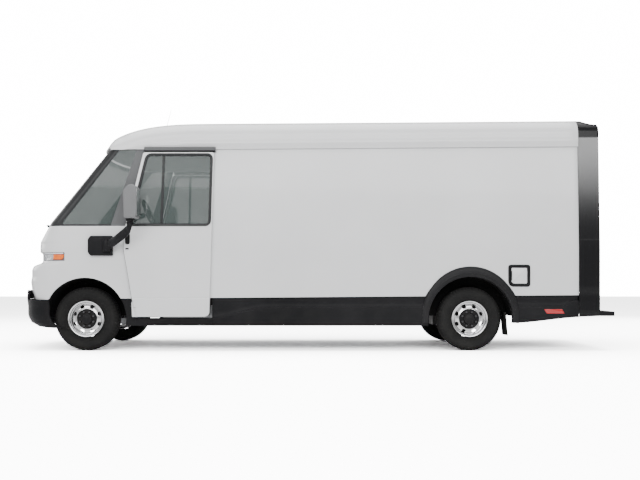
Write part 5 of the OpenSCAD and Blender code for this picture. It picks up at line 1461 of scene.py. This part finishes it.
# %% Mirrors
def make_mirror(side, s):
    """Base, arm, head shell, reflecting plate and bracket of one mirror."""
    low, high = sorted((s * (HALF_W + 0.5), s * (HALF_W + 46)))
    base = rounded_outline([(X_FA + 78, 1152), (X_FA + 344, 1152), (X_FA + 344, 1215), (X_FA + 344, 1392),
                            (X_FA + 78, 1392), (X_FA + 46, 1352), (X_FA + 46, 1192)], 15)
    prism("mirror_base_" + side, base, low, high, "y", black_plastic, bevel=9, segments=4,
          stands_for=("mirror_bases",) if s < 0 else (), slot="black_plastic")
    y0, y1 = HALF_W + 62, HEAD_Y
    path = curve_through([(X_FA + 279, s * y0, 1272), (X_FA + 330, s * (y0 + 30), 1290),
                          (X_FA + 450, s * (y0 + 130), 1352), (X_FA + 560, s * (y1 - 40), 1440),
                          (X_FA + 598, s * y1, 1500), (X_FA + 606, s * y1, 1570)], 12)
    tube("mirror_arm_" + side, path, np.linspace(52, 36, len(path)), black_plastic, sides=24,
         flat=(0.7, 1.15), body="mirror_arm_" + side, stands_for=("mirror_arm_" + side,),
         slot="black_plastic")
    collar = [(0.5, 1200), (44, 1200), (48, 1206), (48, 1338), (44, 1344), (0.5, 1344)]
    lathe("mirror_pivot_" + side, collar, (X_FA + 279, s * y0, 0), "z", black_plastic, steps=40,
          body="mirror_arm_" + side, slot="black_plastic")
    head = rounded_outline([(X_FA + 556, 1580), (X_FA + 690, 1580), (X_FA + 706, 1640), (X_FA + 706, 1925),
                            (X_FA + 672, 1972), (X_FA + 610, 1972), (X_FA + 548, 1900)], 26, 8)
    low, high = sorted((s * (y1 - 122), s * (y1 + 122)))
    prism("mirror_head_" + side, head, low, high, "y", grey_plastic, bevel=30, segments=6,
          body="mirror_head_" + side, stands_for=("mirror_head_" + side,), slot="grey_plastic")
    glass = rounded_outline(box_outline(y1 - 104, 1608, y1 + 104, 1925), 26)
    glass[:, 0] *= s
    prism("mirror_glass_" + side, glass, X_FA + 704.5, X_FA + 707.5, "x", wheel_chrome, bevel=1,
          body="mirror_head_" + side, slot="bare_steel")
    foot = rounded_outline([(X_FA + 572, 1545), (X_FA + 650, 1545), (X_FA + 668, 1600),
                            (X_FA + 556, 1600)], 12)
    low, high = sorted((s * (y1 - 45), s * (y1 + 45)))
    prism("mirror_foot_" + side, foot, low, high, "y", black_plastic, bevel=8, body="mirror_arm_" + side,
          slot="black_plastic")


HEAD_Y = 1322.0 + HALF_W - 1065
for side, s in (("left", -1), ("right", 1)):
    make_mirror(side, s)
print("mirrors made")

# %% [markdown]
# ## Wheels
#
# A tyre is a turned profile: beads, bulged sidewall with fine rings, shoulder and a tread with
# grooves and cross cuts. The steel wheel has a lipped rim, a bright dished disc with eight hand
# holes and a black hub with eight nuts. The holes are cut from the turned disc with a Boolean.

# %% Wheels
def tyre_grid(turn):
    """Points of the tyre about its axle: profile of (radius, y) with cross cuts in the shoulders."""
    r = TYRE_R
    w = TYRE_W / 2
    side_r = np.array([224, 226, 232, 240, 243, 250, 262, 264, 268, 285, 310, 330, 332, 337, 339, 352,
                       366], float)
    side_w = np.array([20, 26, 33, 31, 33, 30, 25.5, 24, 24.5, 16, 6, 3, 1.5, 1.5, 3, 8, 17], float)
    side_r = side_r * r / 387
    tread_y = np.array([-0.74, -0.56, -0.55, -0.49, -0.48, -0.16, -0.15, -0.09, -0.08])
    tread_d = np.array([6, 1.5, 11, 11, 1, 0.3, 11, 11, 0.0])
    tread_y = np.concatenate([tread_y, -tread_y[::-1]]) * w
    tread_d = np.concatenate([tread_d, tread_d[::-1]])
    y = np.concatenate([-(w - side_w), tread_y, (w - side_w)[::-1]])
    base = np.concatenate([side_r, r - tread_d, side_r[::-1]])
    shoulder = (np.abs(y) > 0.56 * w) & (base > 0.93 * r)
    cut = (np.sin(turn * 56) > 0.55)[:, None] * shoulder[None] * 7.0
    small = (np.sin(turn * 84) > 0.7)[:, None] * ((np.abs(y) < 0.47 * w) & (base > 0.99 * r))[None] * 5.0
    radius = base[None] - cut - small
    return np.stack([radius * np.cos(turn)[:, None], np.broadcast_to(y, radius.shape),
                     radius * np.sin(turn)[:, None]], -1)


def holed_disc(name, x, s, y, body):
    """The bright disc with eight oval hand holes, cut with a Boolean."""
    profile = np.array([(96, 12), (120, 12), (128, 6), (150, -2), (172, -2), (184, 6), (192, 24),
                        (196, 26), (196, 34), (188, 33), (178, 16), (170, 8), (150, 8), (132, 16),
                        (122, 21), (96, 21)], float)
    profile[:, 1] = y + s * (TYRE_W / 2 - 72 + profile[:, 1])
    if s < 0:
        profile = profile[::-1]
    disc = lathe(name, profile, (x, 0, WHEEL_Z), "y", wheel_chrome, steps=128, body=body,
                 slot="rim_steel", smooth=30)
    points, faces = [], []
    t = np.linspace(0, 2 * np.pi, 24, endpoint=False)
    for i in range(8):
        a = math.radians(22.5 + 45 * i)
        u, v = 156 + 19 * np.sin(t), 27 * np.cos(t)
        px, pz = x + u * math.cos(a) - v * math.sin(a), WHEEL_Z + u * math.sin(a) + v * math.cos(a)
        ring = np.stack([px, np.zeros(24), pz], -1)
        start = 48 * i
        points += [ring + (0, y + s * TYRE_W / 2 - 130, 0), ring + (0, y + s * TYRE_W / 2 + 130, 0)]
        faces += [[start + j, start + (j + 1) % 24, start + 24 + (j + 1) % 24,
                   start + 24 + j] for j in range(24)]
        faces += [list(range(start, start + 24))[::-1], list(range(start + 24, start + 48))]
    mesh = bpy.data.meshes.new(name + "_cutter")
    mesh.from_pydata((np.concatenate(points) * MM).tolist(), [], faces)
    shell = bmesh.new()
    shell.from_mesh(mesh)
    bmesh.ops.recalc_face_normals(shell, faces=shell.faces)
    shell.to_mesh(mesh)
    shell.free()
    cutter = bpy.data.objects.new(name + "_cutter", mesh)
    bpy.context.scene.collection.objects.link(cutter)
    cut = disc.modifiers.new("holes", "BOOLEAN")
    cut.operation = "DIFFERENCE"
    cut.object = cutter
    cut.solver = "EXACT"
    round_off = disc.modifiers.new("round_off", "BEVEL")
    round_off.width = 2 * MM
    round_off.segments = 2
    round_off.limit_method = "ANGLE"
    round_off.angle_limit = math.radians(50)
    bake(disc, 30)
    bpy.data.objects.remove(cutter)
    return disc


def make_wheel(where, x, s):
    """Tyre, rim barrel, disc, hub, nuts and cap of one wheel."""
    y, tyre_body = s * WHEEL_Y, "wheel_" + where
    turn = np.linspace(0, 2 * np.pi, 1008, endpoint=False)
    grid = tyre_grid(turn) + (x, y, WHEEL_Z)
    faces = grid_faces(len(turn), grid.shape[1], closed_rows=True)
    piece("tyre_" + where + "_shell", grid, faces, tyre_rubber, body=tyre_body,
          stands_for=("tyre_" + where,), slot="tyre", smooth=28)
    edge = s * (TYRE_W / 2)
    barrel = np.array([(205, -40), (203, -14), (209, -10), (221, -9), (226, -12), (228, -16), (228, -21),
                       (224, -23), (216, -23), (211, -27), (209, -40), (200, -70), (196, -120),
                       (200, -205), (212, -214), (226, -216), (226, -222), (208, -224), (192, -210),
                       (188, -120), (190, -60)], float)
    barrel[:, 0] = np.minimum(barrel[:, 0], 218.5) - 1.0
    barrel[:, 1] = y + edge + s * barrel[:, 1]
    lathe("rim_" + where + "_barrel", barrel if s > 0 else barrel[::-1], (x, 0, WHEEL_Z), "y",
          wheel_chrome, steps=128, body=tyre_body, stands_for=("rim_" + where,), slot="rim_steel",
          smooth=30)
    holed_disc("rim_" + where + "_disc", x, s, y, tyre_body)
    hub = np.array([(0.5, -100), (122, -100), (124, -52), (121, -46), (112, -44), (104, -50), (72, -50),
                    (66, -44), (64, -26), (58, -20), (40, -17), (0.5, -16)], float)
    hub[:, 1] = y + edge + s * hub[:, 1]
    lathe("rim_" + where + "_hub", hub if s > 0 else hub[::-1], (x, 0, WHEEL_Z), "y", hub_black, steps=96,
          body=tyre_body, slot="black_plastic", smooth=30)
    angles = np.radians(22.5 + 45 * np.arange(8))
    for i, a in enumerate(angles):
        nut = np.array([(0.5, -52), (15, -52), (15, -34), (12, -30), (0.5, -29)], float)
        nut[:, 1] = y + edge + s * nut[:, 1]
        lathe(f"nut_{where}_{i}", nut if s > 0 else nut[::-1],
              (x + 88 * math.cos(a), 0, WHEEL_Z + 88 * math.sin(a)), "y", nut_steel, steps=6,
              body=tyre_body, slot="rim_steel", smooth=20)
    ring = np.array([(0.5, -22), (34, -18), (37, -12), (30, -9), (0.5, -8)], float)
    ring[:, 1] = y + edge + s * ring[:, 1]
    lathe("cap_" + where, ring if s > 0 else ring[::-1], (x, 0, WHEEL_Z), "y", hub_black, steps=48,
          body=tyre_body, slot="rim_steel", smooth=30)


RIM_D = 437.0
nut_steel = metal("nut_steel", (0.10, 0.10, 0.105, 1.0), 0.25, 0.0002)
hub_black = moulded("hub_black", (0.008, 0.008, 0.009, 1.0), 0.38, 400.0, 0.0004, 0.08)
for end, x in (("front", X_FA), ("rear", X_RA)):
    for side, s in (("left", -1), ("right", 1)):
        make_wheel(end + "_" + side, x, s)
print("wheels made")

# %% [markdown]
# ## Door tracks, wipers and aerial
#
# A sliding door hangs from a covered track above it. The cover is a rounded channel with a dark
# lower lip. The wipers lie along the foot of the screen, and the aerial is a thin raked rod on a
# small boot. Thin round parts are tubes along a path.

# %% Tracks, wipers and aerial
def make_track(side, s):
    """Cover of one door's track, with its dark lower lip."""
    x0, x1, w = X_FA + 715, line_x(DOOR_REAR, 2404.0) + 19, side_y(2404.0)
    low, high = sorted((s * (w + 1), s * (w + 47)))
    cover = rounded_outline(box_outline(x0, 2426, x1, 2471), 12)
    prism("track_cover_" + side, cover, low, high, "y", post_grey, bevel=7, segments=4,
          stands_for=("door_tracks",) if s < 0 else (), slot="grey_plastic")
    lip = rounded_outline(box_outline(x0 + 3, 2409.5, x1 - 3, 2426), 4)
    low, high = sorted((s * (w + 2), s * (w + 45)))
    prism("track_lip_" + side, lip, low, high, "y", black_plastic, bevel=3, slot="black_plastic")
    y = s * HALF_W * 0.66
    wiper = "wiper_" + side
    spindle = wrap(1535.0, column_of(1535.0, abs(y)) * s)
    lathe("wiper_boss_" + side, [(0.5, -26), (17, -26), (17, -9), (13, -6), (0.5, -5)], spindle, "x",
          black_plastic, steps=32, body=wiper, stands_for=(wiper,), slot="black_plastic")
    across = np.linspace(0, 560, 20)
    k = column_of(1540.0, abs(y) - across * 0.99) * s
    arm = wrap(1541.0 + across * 0.012, k, -28.0)
    tube("wiper_arm_" + side, arm, np.linspace(9, 5, 20), black_plastic, sides=12, body=wiper,
         slot="black_plastic")
    k = column_of(1548.0, abs(y) - np.linspace(130, 690, 24)) * s
    blade = wrap(np.full(24, 1552.0), k, -15.0)
    tube("wiper_blade_" + side, blade, 5.5, seal_rubber, sides=10, body=wiper, slot="black_plastic")


for side, s in (("left", -1), ("right", 1)):
    make_track(side, s)
aerial_x = X_FA + 760
aerial_z = float(roof_top(aerial_x)) + 1
boot = [(0.5, 0), (28, 0), (27, 6), (20, 20), (10, 32), (0.5, 33)]
lathe("aerial_boot", boot, (aerial_x, 0, aerial_z), "z", seal_rubber, steps=40, stands_for=("antenna",),
      slot="black_plastic")
rise_z = 3143 - aerial_z - 26
rod = np.stack([aerial_x + np.linspace(0, 96, 12), np.zeros(12),
                aerial_z + 26 + np.linspace(0, rise_z, 12)], -1)
tube("aerial_rod", rod, np.linspace(3.6, 2.2, 12), black_plastic, sides=10, up=(0, 1, 0),
     slot="black_plastic")
lathe("roof_marker", [(0.5, -4), (26, -4), (25, 10), (18, 19), (0.5, 21)],
      (X_FA + 330, 0, float(roof_top(X_FA + 330))), "z", black_plastic, steps=40, slot="black_plastic")
print("tracks, wipers and aerial made")

# %% [markdown]
# ## Driver's place
#
# Inside are a deep dashboard with a hooded pod, a steering wheel with a leather-like rim, and
# a seat. The wheel's rim is a torus, thicker at the grips. The seat pads are crowned blocks that
# a short cloth simulation swells, with piping laid on afterwards as tubes.

# %% Driver's place
TILT, STEER = math.radians(22), np.array([X_FA + 648, -450.0, 1719.0])
axis = np.array([math.cos(TILT), 0.0, math.sin(TILT)])
side_way, up_way = np.array([0.0, 1.0, 0.0]), np.array([-math.sin(TILT), 0.0, math.cos(TILT)])


def around_wheel(radius, depth, turn):
    """Points about the steering axis, at a radius and a depth along it."""
    return (STEER + axis * np.asarray(depth)[..., None] + side_way * (radius * np.cos(turn))[..., None]
            + up_way * (radius * np.sin(turn))[..., None])


turn = np.linspace(0, 2 * np.pi, 120, endpoint=False)[:, None]
ring = np.linspace(0, 2 * np.pi, 20, endpoint=False)[None]
thick = 12.5 + 2.0 * np.exp(-((np.abs(np.cos(turn)) - 0.85) / 0.2) ** 2)
rim = around_wheel(179 + thick * np.cos(ring), thick * np.sin(ring), turn + 0 * ring)
piece("wheel_rim", rim, grid_faces(120, 20, True, True), seal_rubber, body="steering_wheel", flip=True,
      stands_for=("steering_wheel",), slot="black_plastic")
for i, a in enumerate((90, 210, 330)):
    r = np.linspace(40, 172, 10)
    spoke = around_wheel(r, -16 + 14 * (r / 172) ** 2, np.full(10, math.radians(a)))
    tube(f"wheel_spoke_{i}", spoke, 9.0, dash_plastic, sides=12, flat=(1.5, 0.7), up=tuple(axis),
         body="steering_wheel", slot="black_plastic")
hub_r, hub_d = np.array([1.0, 30, 52, 60, 62, 60, 1.0]), np.array([14, 13, 8, 0, -14, -29, -29.5])
hub = around_wheel(hub_r[None] + 0 * turn[::2], hub_d[None] + 0 * turn[::2], turn[::2] + 0 * hub_r[None])
piece("wheel_hub", hub, grid_faces(60, 7, True, False), dash_plastic, body="steering_wheel", flip=True,
      slot="black_plastic")
shaft = STEER + axis * np.linspace(-318, -30, 6)[:, None]
tube("wheel_shaft", shaft, 21.0, brushed_steel, sides=24, body="steering_wheel", slot="bare_steel")
column = STEER + axis * np.linspace(-326, -66, 6)[:, None]
tube("column_cover", column, 32.0, dash_plastic, sides=24, slot="dash_plastic")
profile = rounded_outline([(X_FA - 400, 1236), (X_FA + 326, 1190), (X_FA + 390, 1244), (X_FA + 372, 1494),
                           (X_FA + 200, 1532), (X_FA - 380, 1495)], 26, 6)
y = np.linspace(-HALF_W + 85, HALF_W - 85, 40)
pull = 120 * (np.abs(y) / HALF_W) ** 2
front_pull = 250 * (np.abs(y) / HALF_W) ** 2
share = np.clip((profile[:, 0] - X_FA + 400) / 780, 0, 1)[None]
dash = np.stack([profile[None, :, 0] + front_pull[:, None] * (1 - share) - pull[:, None] * share * 0.3,
                 np.broadcast_to(y[:, None], (40, len(profile))),
                 np.broadcast_to(profile[None, :, 1], (40, len(profile)))], -1)
n = len(profile)
faces = [list(f) for f in grid_faces(40, n, closed_cols=True)] + [list(range(n))[::-1],
    list(range(39 * n, 40 * n))]
piece("dash_body", dash, faces, dash_plastic, stands_for=("dashboard",), slot="dash_plastic", bevel=4,
      flip=True)
pod = rounded_outline([(X_FA + 190, 1520), (X_FA + 372, 1508), (X_FA + 486, 1690), (X_FA + 470, 1752),
                       (X_FA + 404, 1742)], 24, 8)
prism("dash_pod", pod, -450 - 186, -450 + 186, "y", dash_plastic, bevel=16, segments=4, slot="dash_plastic")
panel = rounded_outline([(X_FA + 392, 1535), (X_FA + 402, 1535), (X_FA + 402, 1495), (X_FA + 392, 1495)], 3)
prism("dash_trim", panel, -230, 330, "y", brushed_steel, bevel=1, slot="bare_steel")
print("dashboard and wheel made")


# %% [markdown]
# A pad starts as a rounded block a little smaller than the space it fills. The simulation blows
# it up under light pressure, the growth is capped, and a weave material covers it.

# %% Seat pads
def crowned_block(low, high, cells, lean=0.0):
    """Superellipsoid-like block: a cube grid pushed out so that its faces are crowned; lean shears it."""
    low, high = np.asarray(low, float), np.asarray(high, float)
    t = np.linspace(-1, 1, cells)
    u, v = (m.ravel() for m in np.meshgrid(t, t))
    sides = []
    for a, b, c in ((0, 1, 2), (1, 2, 0), (2, 0, 1)):
        for d in (-1.0, 1.0):
            face = np.zeros((len(u), 3))
            face[:, a], face[:, b], face[:, c] = u * d, v, d
            sides.append(face)
    cube = np.concatenate(sides)
    size = (np.sum(np.abs(cube) ** 7, axis=1) ** (1 / 7))[:, None]
    ball = cube / size
    points = (low + high) / 2 + ball * (high - low) / 2
    points[:, 0] += lean * (points[:, 2] - low[2])
    faces = np.concatenate([grid_faces(cells, cells) + i * cells * cells for i in range(6)])
    return points, faces


def make_pad(name, low, high, lean, body, node, cap):
    """A stuffed pad: block, welded, remeshed, swollen by cloth under pressure, capped and smoothed."""
    points, faces = crowned_block(low, high, 26, lean)
    mesh = bpy.data.meshes.new(name)
    mesh.from_pydata((points * MM).tolist(), [], [list(f) for f in faces])
    mesh.materials.append(seat_cloth)
    obj = bpy.data.objects.new(name, mesh)
    bpy.context.scene.collection.objects.link(obj)
    weld = obj.modifiers.new("weld", "WELD")
    weld.merge_threshold = 0.0005
    remesh = obj.modifiers.new("remesh", "REMESH")
    remesh.mode, remesh.voxel_size = "VOXEL", 0.008
    bake(obj, 180)
    start = np.empty(len(obj.data.vertices) * 3)
    obj.data.vertices.foreach_get("co", start)
    start = start.reshape(-1, 3)
    cloth = obj.modifiers.new("cloth", "CLOTH")
    cloth.settings.use_pressure, cloth.settings.uniform_pressure_force = True, 4.0
    cloth.settings.effector_weights.gravity = 0.0
    for frame_number in range(1, 21):
        bpy.context.scene.frame_set(frame_number)
    bake(obj, 180)
    bpy.context.scene.frame_set(1)
    moved = np.empty(len(obj.data.vertices) * 3)
    obj.data.vertices.foreach_get("co", moved)
    shift = moved.reshape(-1, 3) - start
    length = np.maximum(np.linalg.norm(shift, axis=1), 1e-9)[:, None]
    start = start + shift * np.minimum(1.0, cap * MM / length)
    obj.data.vertices.foreach_set("co", start.ravel())
    smooth = obj.modifiers.new("soften", "SMOOTH")
    smooth.factor, smooth.iterations = 0.5, 4
    finer = obj.modifiers.new("finer", "SUBSURF")
    finer.levels = finer.render_levels = 1
    bake(obj, 180)
    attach(obj, body)
    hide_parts(node)
    print(name, "pad with", len(obj.data.polygons), "faces")


SEAT_X, SEAT_Z = X_FA + 990, 966.0
make_pad("seat_pad", (SEAT_X - 238, -450 - 232, SEAT_Z + 42), (SEAT_X + 186, -450 + 232, SEAT_Z + 148),
         0.0, "seat_slider", "seat_cushion", 10)
make_pad("back_pad", (SEAT_X + 228, -450 - 226, SEAT_Z + 100), (SEAT_X + 282, -450 + 226, SEAT_Z + 545),
         0.2, "seat_back", "seat_back", 10)
for i, z in enumerate((SEAT_Z + 52, SEAT_Z + 138)):
    loop = rounded_outline(box_outline(SEAT_X - 236, -680, SEAT_X + 184, -220), 60, 8)
    ring_path = np.stack([loop[:, 0], loop[:, 1], np.full(len(loop), z)], -1)
    tube(f"seat_piping_{i}", np.concatenate([ring_path, ring_path[:1]]), 3.5, seal_rubber, sides=8,
         body="seat_slider", slot="seat_fabric")
for i, (y0, y1) in enumerate(((-711, -700), (-200, -189))):
    arm = rounded_outline(box_outline(SEAT_X - 58, SEAT_Z + 10, SEAT_X + 262, SEAT_Z + 122), 26)
    prism(f"seat_shield_{i}", arm, y0, y1, "y", dash_plastic, bevel=3, body="seat_slider",
          slot="dash_plastic")
pan = rounded_outline(box_outline(SEAT_X - 236, SEAT_Z + 2, SEAT_X + 186, SEAT_Z + 34), 10)
prism("seat_pan", pan, -640, -260, "y", dash_plastic, bevel=4, body="seat_slider", slot="dash_plastic")
